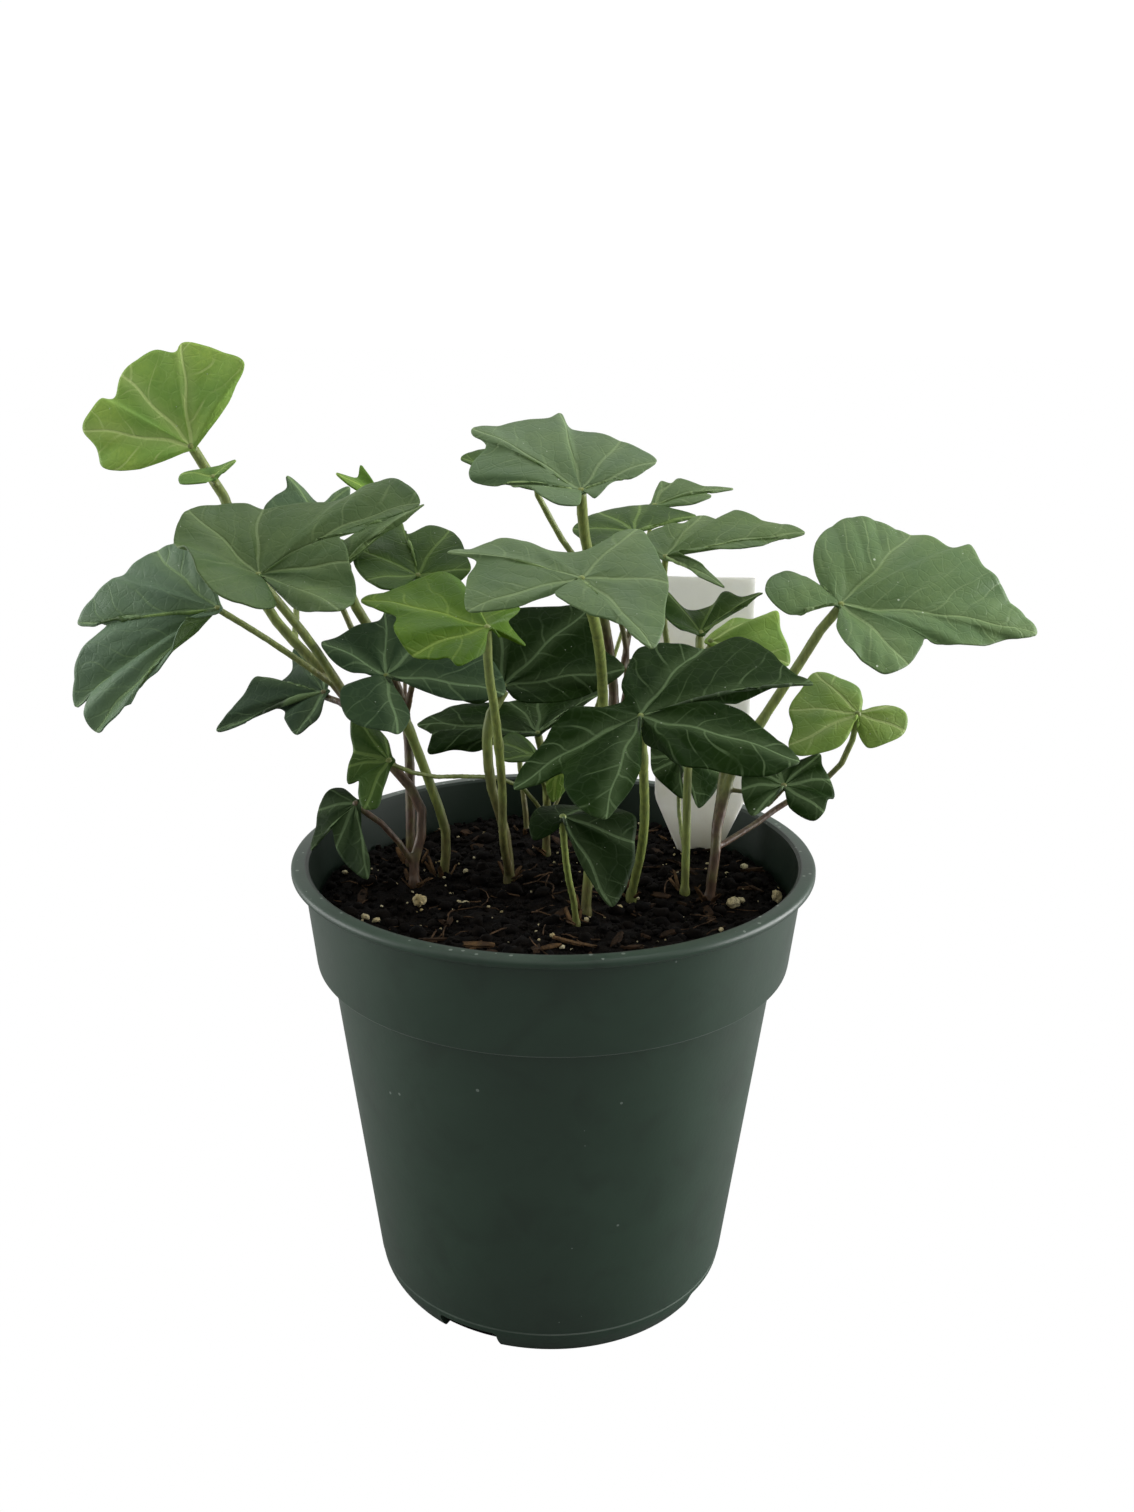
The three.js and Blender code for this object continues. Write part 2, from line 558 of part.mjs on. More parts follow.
// ---- Stems ----
// Each stem is one branching piece. Its first limb rises from the soil, and the others leave a
// limb before them. A limb that names a leaf ends under that leaf's hub.
const STEMS = {
  stem_left: [
    {
      leaf: "young_left",
      radius: STEM_RADIUS,
      route: [[-31, 1, 0], [-31, 2, 6], [-29, 4, 15], [-31, 5, 21], [-37, 7, 28], [-47, 9, 43],
        [-63, 12, 61], [-72, 17, 84], [-75, 17, 89]],
    },
    { leaf: "large_left", radius: 1.05, route: [[-45, 8, 41], [-51, -2, 56], [-56, -9, 66]] },
    { leaf: "drooping_left", radius: PETIOLE_RADIUS, route: [[-48, 9, 44], [-61, 2, 56]] },
    { leaf: "rim_left", radius: PETIOLE_RADIUS, route: [[-31, 2, 5], [-36, 0, 14], [-39, -1, 17]] },
    { leaf: "low_left", radius: PETIOLE_RADIUS, route: [[-42, 8, 36], [-47, 13, 39]] },
    { leaf: "shoot", radius: FINE_RADIUS, route: [[-74, 17, 87]] },
    { leaf: "rear_left", radius: PETIOLE_RADIUS, route: [[-57, 11, 54], [-58, 21, 62]] },
  ],
  stem_left_green: [
    { leaf: "dark_left", radius: 1.15, route: [[-25, 7, 0], [-24, 6, 10], [-28, 3, 26], [-32, -2, 40]] },
  ],
  stem_left_back: [
    {
      leaf: "under_left",
      radius: STEM_RADIUS,
      route: [[-33, 13, 0], [-33, 15, 16], [-34, 18, 35], [-39, 14, 52], [-44, 5, 66]],
    },
    { leaf: "mid_left", radius: PETIOLE_RADIUS, route: [[-34, 18, 35], [-30, 12, 52], [-29, 6, 63]] },
    { leaf: "back_left", radius: PETIOLE_RADIUS, route: [[-35, 18, 40], [-46, 18, 56], [-50, 19, 68]] },
    { leaf: "bud_left", radius: FINE_RADIUS, route: [[-34, 17, 32], [-35, 26, 50], [-38, 30, 72]] },
  ],
  stem_centre: [
    {
      leaf: "dark_centre",
      radius: STEM_RADIUS,
      route: [[-10, 5, 0], [-11, 4, 13], [-14, 2, 25], [-14, 0, 40]],
    },
    {
      leaf: "lime_front",
      radius: 1,
      route: [[-10, 5, 2], [-11, -4, 14], [-11, -8, 27], [-12, -17, 46], [-13, -22, 56]],
    },
  ],
  stem_front: [
    {
      leaf: "front",
      radius: 1.15,
      route: [[7, -13, 0], [8, -13, 15], [10, -12, 31], [10, -12, 46], [8, -30, 66]],
    },
  ],
  stem_middle: [
    {
      leaf: "top",
      radius: STEM_RADIUS,
      route: [[11, 13, 0], [13, 18, 24], [13, 19, 42], [10, 14, 61], [6, 3, 78]],
    },
    {
      leaf: "behind_top",
      radius: PETIOLE_RADIUS,
      route: [[13, 18, 27], [16, 21, 42], [14, 20, 58], [2, 18, 74]],
    },
    { leaf: "upper_right_folded", radius: PETIOLE_RADIUS, route: [[15, 20, 46], [18, 25, 65]] },
  ],
  stem_front_green: [
    {
      leaf: "dark_right",
      radius: 1.05,
      route: [[17, -4, 0], [18, -6, 7], [19, -13, 20], [18, -21, 37]],
    },
  ],
  stem_right_green: [
    { leaf: "small_right", radius: 1, route: [[29, -1, 0], [29, 0, 15], [29, 1, 30], [31, 3, 46]] },
    { leaf: "upper_right", radius: PETIOLE_RADIUS, route: [[29, 2, 33], [25, 12, 50], [23, 12, 64]] },
    { leaf: "behind_low_right", radius: FINE_RADIUS, route: [[29, 0, 9], [28, 8, 15]] },
  ],
  stem_right: [
    {
      leaf: "behind_right",
      radius: STEM_RADIUS,
      route: [[34, -6, 0], [35, -5, 11], [35, -4, 15], [37, 3, 28], [36, 10, 41]],
    },
    {
      leaf: "large_right",
      radius: 1.15,
      route: [[35, -4, 15], [39, 2, 29], [45, 4, 39], [52, 4, 51], [58, 3, 62]],
    },
    {
      leaf: "bright_right",
      radius: PETIOLE_RADIUS,
      route: [[35, -4, 12], [44, 3, 15], [52, 8, 19], [62, 9, 25], [66, 8, 35]],
    },
    { leaf: "low_right", radius: FINE_RADIUS, route: [[37, 1, 24], [42, -1, 24], [47, -4, 22]] },
  ],
  stem_back: [
    { leaf: "low_centre", radius: 1, route: [[-2, 22, 0], [-2, 19, 19], [-3, 17, 28]] },
    {
      leaf: "above_rim_left",
      radius: FINE_RADIUS,
      route: [[-2, 21, 10], [-8, 14, 20], [-16, 8, 24], [-28, -1, 27]],
    },
    { leaf: "small_centre", radius: FINE_RADIUS, route: [[-2, 19, 16], [-3, 12, 23]] },
    { leaf: "lime_low", radius: FINE_RADIUS, route: [[-2, 20, 14], [0, 7, 26]] },
    { leaf: "upper_right_small", radius: FINE_RADIUS, route: [[-2, 21, 8], [8, 30, 30], [18, 38, 60]] },
  ],
  stem_rear: [
    { leaf: "rear_middle", radius: PETIOLE_RADIUS, route: [[-7, 37, 0], [-9, 39, 20], [-9, 38, 36]] },
  ],
  stem_rear_right: [
    { leaf: "rear_right", radius: PETIOLE_RADIUS, route: [[29, 33, 0], [31, 35, 20], [32, 35, 34]] },
  ],
  stem_low_front: [
    { leaf: "low_front", radius: PETIOLE_RADIUS, route: [[5, -19, 0], [3, -24, 14]] },
  ],
};

// The end of a petiole under its leaf: the end face clears the blade's underside by SEAT_GAP.
function leafSeat(name, before, radius) {
  const leaf = LEAVES[name];
  const up = bladeUp(leaf.edge.map(edgePoint));
  const hub = new THREE.Vector3(...leaf.hub);
  const along = hub.clone().sub(before).normalize();
  const lean = Math.sqrt(Math.max(1 - along.dot(up) ** 2, 0));
  return hub.addScaledVector(up, -(LEAF_THICKNESS + SEAT_GAP + radius * lean));
}

function limbSolid({ radius, route, leaf }, fromSoil) {
  const points = route.map((point) => new THREE.Vector3(...point));
  if (fromSoil) {
    points[0].z = SEAT_GAP;
    points.splice(1, 0, points[0].clone().setZ(2.5));
  }
  if (leaf) points.push(leafSeat(leaf, points[points.length - 1], radius));
  const path = new THREE.CatmullRomCurve3(points, false, "centripetal");
  const sides = radius > PETIOLE_RADIUS ? 8 : 6;
  const section = new THREE.Shape();
  for (let side = 0; side < sides; side += 1) {
    const turn = (2 * Math.PI * side) / sides;
    const corner = [radius * Math.cos(turn), radius * Math.sin(turn)];
    if (side === 0) section.moveTo(...corner);
    else section.lineTo(...corner);
  }
  const steps = Math.max(3, Math.round(path.getLength() / 6));
  return toSolid(new THREE.ExtrudeGeometry(section, {
    extrudePath: path, steps, bevelEnabled: false, curveSegments: 1,
  }));
}

function buildStems() {
  return Object.entries(STEMS).map(([name, limbs]) => {
    const solid = limbs
      .map((limb, index) => limbSolid(limb, index === 0))
      .reduce((joined, limb) => joined.add(limb));
    const look = /green|front/.test(name) ? MATERIALS.petiole : MATERIALS.stem;
    return piece(name, toGeometry(solid), look);
  });
}

// ---- Assembly ----
const plant = new THREE.Group();
plant.position.z = soilTop;
plant.scale.set(spread, spread, 1);
plant.add(...buildStems(), ...buildLeaves());

const ivy = new THREE.Group();
ivy.add(buildPot(), buildSoil(), ...buildGrit(), buildTag(), plant);
export default ivy;
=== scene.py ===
"""Potted ivy in a nursery pot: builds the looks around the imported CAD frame."""

import json
import math
import random

import bmesh
import bpy
import numpy as np
from mathutils import Matrix, Vector, kdtree, noise


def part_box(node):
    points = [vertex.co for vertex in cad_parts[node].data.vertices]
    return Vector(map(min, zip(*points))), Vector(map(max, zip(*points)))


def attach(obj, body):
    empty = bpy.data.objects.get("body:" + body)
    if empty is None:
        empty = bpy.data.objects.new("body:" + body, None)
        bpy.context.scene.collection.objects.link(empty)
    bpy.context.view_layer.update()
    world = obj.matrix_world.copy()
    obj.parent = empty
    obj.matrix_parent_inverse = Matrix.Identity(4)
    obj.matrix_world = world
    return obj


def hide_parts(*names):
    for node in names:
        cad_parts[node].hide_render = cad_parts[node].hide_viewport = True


bl_info = {
    "name": "Potted Ivy",
    "version": (1, 0, 0),
    "blender": (4, 5, 0),
    "location": "3D View > Sidebar > Potted Ivy",
    "description": "Builds an ivy plant in a nursery pot, piece by piece",
    "category": "Add Mesh",
}

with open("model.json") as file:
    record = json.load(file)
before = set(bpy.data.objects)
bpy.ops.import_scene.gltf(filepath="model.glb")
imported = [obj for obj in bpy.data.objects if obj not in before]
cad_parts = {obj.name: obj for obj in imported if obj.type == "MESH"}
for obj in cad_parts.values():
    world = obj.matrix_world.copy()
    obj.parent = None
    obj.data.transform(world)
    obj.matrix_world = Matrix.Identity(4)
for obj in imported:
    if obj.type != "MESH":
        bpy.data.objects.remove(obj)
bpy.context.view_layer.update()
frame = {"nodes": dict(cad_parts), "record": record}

MM = 0.001
MERGE_DISTANCE = 0.001 * MM
POT_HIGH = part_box("pot")[1]
SOIL_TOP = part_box("soil")[1].z
STEM_FOOT_TOP = SOIL_TOP + 0.6 * MM
LEAF_NODES = sorted(name for name in frame["nodes"] if name.startswith("leaf_"))
STEM_NODES = sorted(name for name in frame["nodes"] if name.startswith("stem_"))
GRIT_NODES = sorted(name for name in frame["nodes"] if name.startswith("grit_"))
LEAF_SLOTS = {
    row["node"]: row["material_slot"]
    for row in frame["record"]["subparts"]
    if row["node"].startswith("leaf_")
}


# ---- Colours ----
def linear(code):
    """Turns an sRGB hex colour into linear red, green and blue."""
    channels = (int(code[i:i + 2], 16) / 255 for i in (1, 3, 5))
    return tuple(c / 12.92 if c <= 0.04045 else ((c + 0.055) / 1.055) ** 2.4 for c in channels)


def colour(name, description, code):
    """A colour that the user can change, given as sRGB hex."""
    return bpy.props.FloatVectorProperty(
        name=name, description=description, subtype="COLOR", min=0, max=1, default=linear(code)
    )


def length(name, description, millimetres):
    """A size that the user can change, given in millimetres."""
    return bpy.props.FloatProperty(
        name=name, description=description, unit="LENGTH", min=0, default=millimetres * MM
    )


# ---- Settings ----
class PotSettings(bpy.types.PropertyGroup):
    """Sizes and colour of the nursery pot."""

    lip_height: length("Lip height", "Height of the rolled lip", 2)
    lip_overhang: length("Lip overhang", "How far the lip stands out from the collar", 2.5)
    collar_height: length("Collar height", "From the lip's top to the collar's lower edge", 22.5)
    collar_draft: length("Collar draft", "Radius lost down the collar", 2.3)
    ledge_height: length("Ledge height", "Slope of the undercut below the collar", 1)
    ledge_depth: length("Ledge depth", "How far the collar stands out from the body", 3.2)
    foot_radius: length("Foot radius", "Radius of the body where the foot starts", 40)
    foot_height: length("Foot height", "Height of the rounded foot", 6.5)
    base_radius: length("Base radius", "Radius of the flat underside", 37.5)
    wall: length("Wall", "Thickness of the plastic", 1.2)
    floor: length("Floor", "Thickness of the pot's floor", 2)
    slot_width: length("Slot width", "Width of a drain slot", 14)
    slot_height: length("Slot height", "Height of a drain slot", 4.5)
    slot_reach: length("Slot reach", "How far a slot cuts in from the edge", 5)
    plastic: colour("Plastic", "Colour of the pot", "#213729")


class SoilSettings(bpy.types.PropertyGroup):
    """What the potting mix is made of."""

    heave: length("Heave", "Height of the surface's humps", 1.6)
    crumbs: bpy.props.IntProperty(
        name="Crumbs", description="Number of peat crumbs", min=0, default=2300
    )
    lumps: bpy.props.IntProperty(
        name="Lumps", description="Number of larger peat lumps", min=0, default=170
    )
    chips: bpy.props.IntProperty(
        name="Chips", description="Number of bark chips", min=0, default=64
    )
    fibres: bpy.props.IntProperty(
        name="Fibres", description="Number of loose fibres", min=0, default=110
    )
    specks: bpy.props.IntProperty(
        name="Specks", description="Number of small perlite specks", min=0, default=240
    )
    peat: colour("Peat", "Colour of the dark peat", "#040303")
    bark: colour("Bark", "Colour of the bark chips", "#453628")
    perlite: colour("Perlite", "Colour of the perlite", "#d6cda8")


class TagSettings(bpy.types.PropertyGroup):
    """The plant tag pushed into the soil."""

    taper: length("Taper", "Height over which the foot narrows", 14)
    foot: length("Foot", "Width of the foot", 8)
    thickness: length("Thickness", "Thickness of the card", 0.6)
    card: colour("Card", "Colour of the card", "#f6f4ea")


class StemSettings(bpy.types.PropertyGroup):
    """Stems and petioles."""

    voxel: length("Detail", "Spacing of the stems' surface detail", 0.32)
    bark: colour("Bark", "Colour of the woody lower stems", "#5b4636")
    green: colour("Green", "Colour of the petioles", "#7f904d")


class LeafSettings(bpy.types.PropertyGroup):
    """The blades, from the oldest to the youngest; the dark colour also holds painted shade for the low
    blades, and the light one is the grown colour with painted light.
    """

    thickness: length("Thickness", "Thickness of a blade", 0.32)
    crease: length("Crease", "Depth of the valley along a main vein", 0.9)
    quilt: length("Quilting", "Height of the swellings between side veins", 0.3)
    dark: colour("Dark", "Old shaded blades", "#1d330d")
    mid: colour("Middle", "Grown blades", "#324d18")
    light: colour("Light", "Grown blades in the light", "#506938")
    young: colour("Young", "Young blades", "#84a548")
    lime: colour("Lime", "Newest blades", "#4c6f06")


class StageSettings(bpy.types.PropertyGroup):
    """Camera and light."""

    lens: bpy.props.FloatProperty(
        name="Lens", description="Focal length in millimetres", min=1, default=35.71
    )
    floor: colour("Floor", "Colour of the light that the floor throws back", "#8c8c8c")


SETTINGS = {
    "ivy_pot": PotSettings,
    "ivy_soil": SoilSettings,
    "ivy_tag": TagSettings,
    "ivy_stems": StemSettings,
    "ivy_leaves": LeafSettings,
    "ivy_stage": StageSettings,
}


# ---- Materials ----
def put(tree, kind, inputs=None, **settings):
    """Adds a node, sets its properties, and sets or links its inputs."""
    added = tree.nodes.new(kind)
    for key, value in settings.items():
        setattr(added, key, value)
    for key, value in (inputs or {}).items():
        if isinstance(value, bpy.types.NodeSocket):
            tree.links.new(value, added.inputs[key])
        else:
            added.inputs[key].default_value = value
    return added


def new_material(name):
    """An empty material with its shader and output, returned with its node tree and shader."""
    made = bpy.data.materials.new(name)
    made.use_nodes = True
    tree = made.node_tree
    tree.nodes.clear()
    shader = put(tree, "ShaderNodeBsdfPrincipled")
    put(tree, "ShaderNodeOutputMaterial", {"Surface": shader.outputs[0]})
    return made, tree, shader


def rgba(values):
    """Three colour values with full alpha."""
    return (*values[:3], 1)


def scaled(values, factor):
    """A colour made darker or lighter."""
    return tuple(min(v * factor, 1) for v in values[:3])


def tinted(values, red, green, blue):
    """A colour with each channel scaled."""
    return (min(values[0] * red, 1), min(values[1] * green, 1), min(values[2] * blue, 1))


def pot_material(settings):
    """Injection-moulded polypropylene: satin dark green with handling smudges and dust, painted shade on
    the inner wall above the mix, and painted highlights along the collar's lower edge and the top of the
    foot.
    """
    made, tree, shader = new_material("moulded_polypropylene")
    place = put(tree, "ShaderNodeTexCoord").outputs["Object"]
    # Handling smudges about 26 mm wide.
    smudge = put(tree, "ShaderNodeTexNoise", {
        "Vector": place, "Scale": 38, "Detail": 5, "Roughness": 0.62,
    })
    haze = put(tree, "ShaderNodeMapRange", {
        "Value": smudge.outputs[0], "From Min": 0.42, "From Max": 0.72,
    })
    hazy = put(tree, "ShaderNodeMix", {
        0: haze.outputs[0],
        6: rgba(settings.plastic),
        7: rgba(tinted(settings.plastic, 1.35, 1.25, 1.3)),
    }, data_type="RGBA")
    # Damp fingermarks: dark patches about 10 mm wide with soft edges.
    touch = put(tree, "ShaderNodeTexNoise", {
        "Vector": place, "Scale": 95, "Detail": 3, "Distortion": 0.6,
    })
    damp = put(tree, "ShaderNodeMapRange", {
        "Value": touch.outputs[0], "From Min": 0.5, "From Max": 0.7, "To Min": 0, "To Max": 0.34,
    })
    # Painted shade: above the mix, the inner wall is drawn darker, standing in for the shade that the
    # soil and leaves cast inside the pot.
    flat = put(tree, "ShaderNodeVectorMath", {0: place, 1: (1, 1, 0)}, operation="MULTIPLY")
    radius = put(tree, "ShaderNodeVectorMath", {0: flat.outputs[0]}, operation="LENGTH")
    up = put(tree, "ShaderNodeSeparateXYZ", {0: place}).outputs[2]
    collar_slope = settings.collar_draft / (settings.collar_height - settings.lip_height)
    level = put(tree, "ShaderNodeMath", {
        0: up, 1: -collar_slope, 2: radius.outputs["Value"],
    }, operation="MULTIPLY_ADD")
    mid_wall = POT_HIGH.x - settings.lip_overhang - settings.wall / 2
    within = put(tree, "ShaderNodeMath", {
        0: level.outputs[0], 1: mid_wall - collar_slope * (POT_HIGH.z - settings.lip_height),
    }, operation="LESS_THAN")
    collar_edge = POT_HIGH.z - settings.collar_height
    above = put(tree, "ShaderNodeMath", {0: up, 1: collar_edge + 1 * MM}, operation="GREATER_THAN")
    inner = put(tree, "ShaderNodeMath", {
        0: within.outputs[0], 1: above.outputs[0],
    }, operation="MULTIPLY")
    # The darkening takes both the damp marks and the painted shade on the inner wall.
    dark = put(tree, "ShaderNodeMath", {0: inner.outputs[0], 1: damp.outputs[0]}, operation="MAXIMUM")
    base = put(tree, "ShaderNodeMix", {
        0: dark.outputs[0], 6: hazy.outputs[2], 7: rgba(scaled(settings.plastic, 0.45)),
    }, data_type="RGBA")
    # Pale dust specks up to 0.8 mm wide, in loose groups.
    dust = put(tree, "ShaderNodeTexVoronoi", {"Vector": place, "Scale": 420, "Randomness": 1})
    chance = put(tree, "ShaderNodeSeparateColor", {0: dust.outputs["Color"]})
    spread = put(tree, "ShaderNodeTexNoise", {"Vector": place, "Scale": 60, "Detail": 2})
    group = put(tree, "ShaderNodeMapRange", {
        "Value": spread.outputs[0], "From Min": 0.5, "From Max": 0.66, "To Min": 0, "To Max": 0.17,
    })
    rare = put(tree, "ShaderNodeMapRange", {
        "Value": chance.outputs[0], "From Min": 0.8, "From Max": 1,
    })
    size = put(tree, "ShaderNodeMath", {
        0: group.outputs[0], 1: rare.outputs[0],
    }, operation="MULTIPLY")
    # The lip is nicked more than the rest.
    lip = put(tree, "ShaderNodeMapRange", {
        "Value": up, "From Min": POT_HIGH.z - 0.5 * MM, "From Max": POT_HIGH.z,
        "To Min": 0, "To Max": 0.16,
    })
    grown = put(tree, "ShaderNodeMath", {0: size.outputs[0], 1: lip.outputs[0]}, operation="ADD")
    speck = put(tree, "ShaderNodeMath", {
        0: dust.outputs["Distance"], 1: grown.outputs[0],
    }, operation="LESS_THAN")
    # Painted highlight: the collar's lower edge and the top of the foot stand out, and a pale stripe on
    # each stands in for the light their rounded edges catch; on the foot the pale line is partly scuffing
    # too, and the smudge noise varies both.
    collar = put(tree, "ShaderNodeMath", {
        0: up, 1: collar_edge, 2: 0.32 * MM,
    }, operation="COMPARE")
    foot = put(tree, "ShaderNodeMath", {
        0: up, 1: settings.foot_height - 0.6 * MM, 2: 0.22 * MM,
    }, operation="COMPARE")
    edges = put(tree, "ShaderNodeMath", {
        0: collar.outputs[0], 1: foot.outputs[0],
    }, operation="MAXIMUM")
    highlight_and_scuff_strength = put(tree, "ShaderNodeMapRange", {
        "Value": smudge.outputs[0], "From Min": 0.35, "From Max": 0.65, "To Min": 0.25, "To Max": 0.8,
    })
    edge_highlight_and_scuff = put(tree, "ShaderNodeMath", {0: edges.outputs[0], 1: highlight_and_scuff_strength.outputs[0]}, operation="MULTIPLY")
    # Dust specks, lip nicks and the painted edge highlights are mixed in pale together.
    specks_and_edge_highlight = put(tree, "ShaderNodeMath", {0: speck.outputs[0], 1: edge_highlight_and_scuff.outputs[0]}, operation="MAXIMUM")
    share = put(tree, "ShaderNodeMath", {0: specks_and_edge_highlight.outputs[0], 1: 0.5}, operation="MULTIPLY")
    specked_and_highlit = put(tree, "ShaderNodeMix", {
        0: share.outputs[0], 6: base.outputs[2], 7: rgba(linear("#8d988f")),
    }, data_type="RGBA")
    gloss = put(tree, "ShaderNodeMapRange", {
        "Value": smudge.outputs[0], "From Min": 0.3, "From Max": 0.75, "To Min": 0.34, "To Max": 0.5,
    })
    # The faint orange-peel of a moulded wall, drawn at 0.9 mm so that it shows.
    grain = put(tree, "ShaderNodeTexNoise", {"Vector": place, "Scale": 1100, "Detail": 2})
    bump = put(tree, "ShaderNodeBump", {
        "Height": grain.outputs[0], "Strength": 0.06, "Distance": 0.3 * MM,
    })
    tree.links.new(specked_and_highlit.outputs[2], shader.inputs["Base Color"])
    tree.links.new(gloss.outputs[0], shader.inputs["Roughness"])
    tree.links.new(bump.outputs[0], shader.inputs["Normal"])
    shader.inputs["IOR"].default_value = 1.49
    return made


def grain_material(name, low, high, cell, roughness, depth):
    """A matte natural material: two colours mixed by noise of the given cell size in mm."""
    made, tree, shader = new_material(name)
    place = put(tree, "ShaderNodeTexCoord").outputs["Object"]
    coarse = put(tree, "ShaderNodeTexNoise", {
        "Vector": place, "Scale": 1 / (cell * MM), "Detail": 6, "Roughness": 0.65,
    })
    share = put(tree, "ShaderNodeMapRange", {
        "Value": coarse.outputs[0], "From Min": 0.38, "From Max": 0.66,
    })
    mixed = put(tree, "ShaderNodeMix", {
        0: share.outputs[0], 6: rgba(low), 7: rgba(high),
    }, data_type="RGBA")
    fine = put(tree, "ShaderNodeTexNoise", {"Vector": place, "Scale": 4 / (cell * MM), "Detail": 3})
    bump = put(tree, "ShaderNodeBump", {
        "Height": fine.outputs[0], "Strength": 0.7, "Distance": depth * MM,
    })
    tree.links.new(mixed.outputs[2], shader.inputs["Base Color"])
    tree.links.new(bump.outputs[0], shader.inputs["Normal"])
    shader.inputs["Roughness"].default_value = roughness
    shader.inputs["Specular IOR Level"].default_value = 0.12
    return made


def tag_material(settings):
    """A matte off-white plastic card that lets some light through, soiled near its foot."""
    made, tree, shader = new_material("plastic_card")
    place = put(tree, "ShaderNodeTexCoord").outputs["Object"]
    smudge = put(tree, "ShaderNodeTexNoise", {
        "Vector": place, "Scale": 75, "Detail": 5, "Roughness": 0.6,
    })
    share = put(tree, "ShaderNodeMapRange", {
        "Value": smudge.outputs[0], "From Min": 0.4, "From Max": 0.75,
    })
    mixed = put(tree, "ShaderNodeMix", {
        0: share.outputs[0], 6: rgba(settings.card), 7: rgba(tinted(settings.card, 0.86, 0.84, 0.76)),
    }, data_type="RGBA")
    height = put(tree, "ShaderNodeSeparateXYZ", {0: place})
    low = put(tree, "ShaderNodeMapRange", {
        "Value": height.outputs[2], "From Min": SOIL_TOP, "From Max": SOIL_TOP + 12 * MM,
        "To Min": 0.55, "To Max": 0,
    })
    soiled = put(tree, "ShaderNodeMix", {
        0: low.outputs[0], 6: mixed.outputs[2], 7: rgba(linear("#4b4236")),
    }, data_type="RGBA")
    grain = put(tree, "ShaderNodeTexNoise", {"Vector": place, "Scale": 1600, "Detail": 1})
    bump = put(tree, "ShaderNodeBump", {
        "Height": grain.outputs[0], "Strength": 0.1, "Distance": 0.2 * MM,
    })
    tree.links.new(soiled.outputs[2], shader.inputs["Base Color"])
    tree.links.new(bump.outputs[0], shader.inputs["Normal"])
    shader.inputs["Roughness"].default_value = 0.5
    shader.inputs["Subsurface Weight"].default_value = 0.8
    shader.inputs["Subsurface Radius"].default_value = (1, 1, 0.9)
    shader.inputs["Subsurface Scale"].default_value = 3 * MM
    return made


def stem_material(settings):
    """Living stem: brown bark low down, green and waxy towards the blades, with fine streaks."""
    made, tree, shader = new_material("ivy_stem")
    place = put(tree, "ShaderNodeTexCoord").outputs["Object"]
    woody = put(tree, "ShaderNodeAttribute", attribute_name="woody")
    stretch = put(tree, "ShaderNodeMapping", {"Vector": place, "Scale": (1500, 1500, 220)})
    streak = put(tree, "ShaderNodeTexNoise", {"Vector": stretch.outputs[0], "Scale": 1, "Detail": 3})
    share = put(tree, "ShaderNodeMapRange", {
        "Value": streak.outputs[0], "From Min": 0.35, "From Max": 0.7,
    })
    bark = put(tree, "ShaderNodeMix", {
        0: share.outputs[0], 6: rgba(scaled(settings.bark, 0.6)), 7: rgba(scaled(settings.bark, 1.25)),
    }, data_type="RGBA")
    green = put(tree, "ShaderNodeMix", {
        0: share.outputs[0],
        6: rgba(scaled(settings.green, 0.78)),
        7: rgba(tinted(settings.green, 1.2, 1.12, 1)),
    }, data_type="RGBA")
    patchy = put(tree, "ShaderNodeTexNoise", {"Vector": place, "Scale": 260, "Detail": 3})
    drift = put(tree, "ShaderNodeMapRange", {
        "Value": patchy.outputs[0], "From Min": 0.3, "From Max": 0.7, "To Min": -0.22, "To Max": 0.22,
    })
    level = put(tree, "ShaderNodeMath", {
        0: woody.outputs["Fac"], 1: drift.outputs[0],
    }, operation="ADD", use_clamp=True)
    mixed = put(tree, "ShaderNodeMix", {
        0: level.outputs[0], 6: green.outputs[2], 7: bark.outputs[2],
    }, data_type="RGBA")
    bump = put(tree, "ShaderNodeBump", {
        "Height": streak.outputs[0], "Strength": 0.5, "Distance": 0.25 * MM,
    })
    tree.links.new(mixed.outputs[2], shader.inputs["Base Color"])
    tree.links.new(bump.outputs[0], shader.inputs["Normal"])
    shader.inputs["Roughness"].default_value = 0.45
    return made


# Vein pattern sizes in millimetres on the blade.
SIDE_VEIN_SPACING = 6.6
MAIN_VEIN_WIDTH = 0.46
SIDE_VEIN_WIDTH = 0.26
SIDE_VEIN_LEAN = 0.95  # how far a side vein runs forward for each millimetre outward
NET_CELL = 2.6
WIDEST_VEIN_GAP = math.radians(58)
LEAST_TIP_REACH = 0.42  # share of the blade's longest reach, below which a corner is no tip
LEAST_EXTRA_REACH = 0.45  # the same for a main vein between two tips


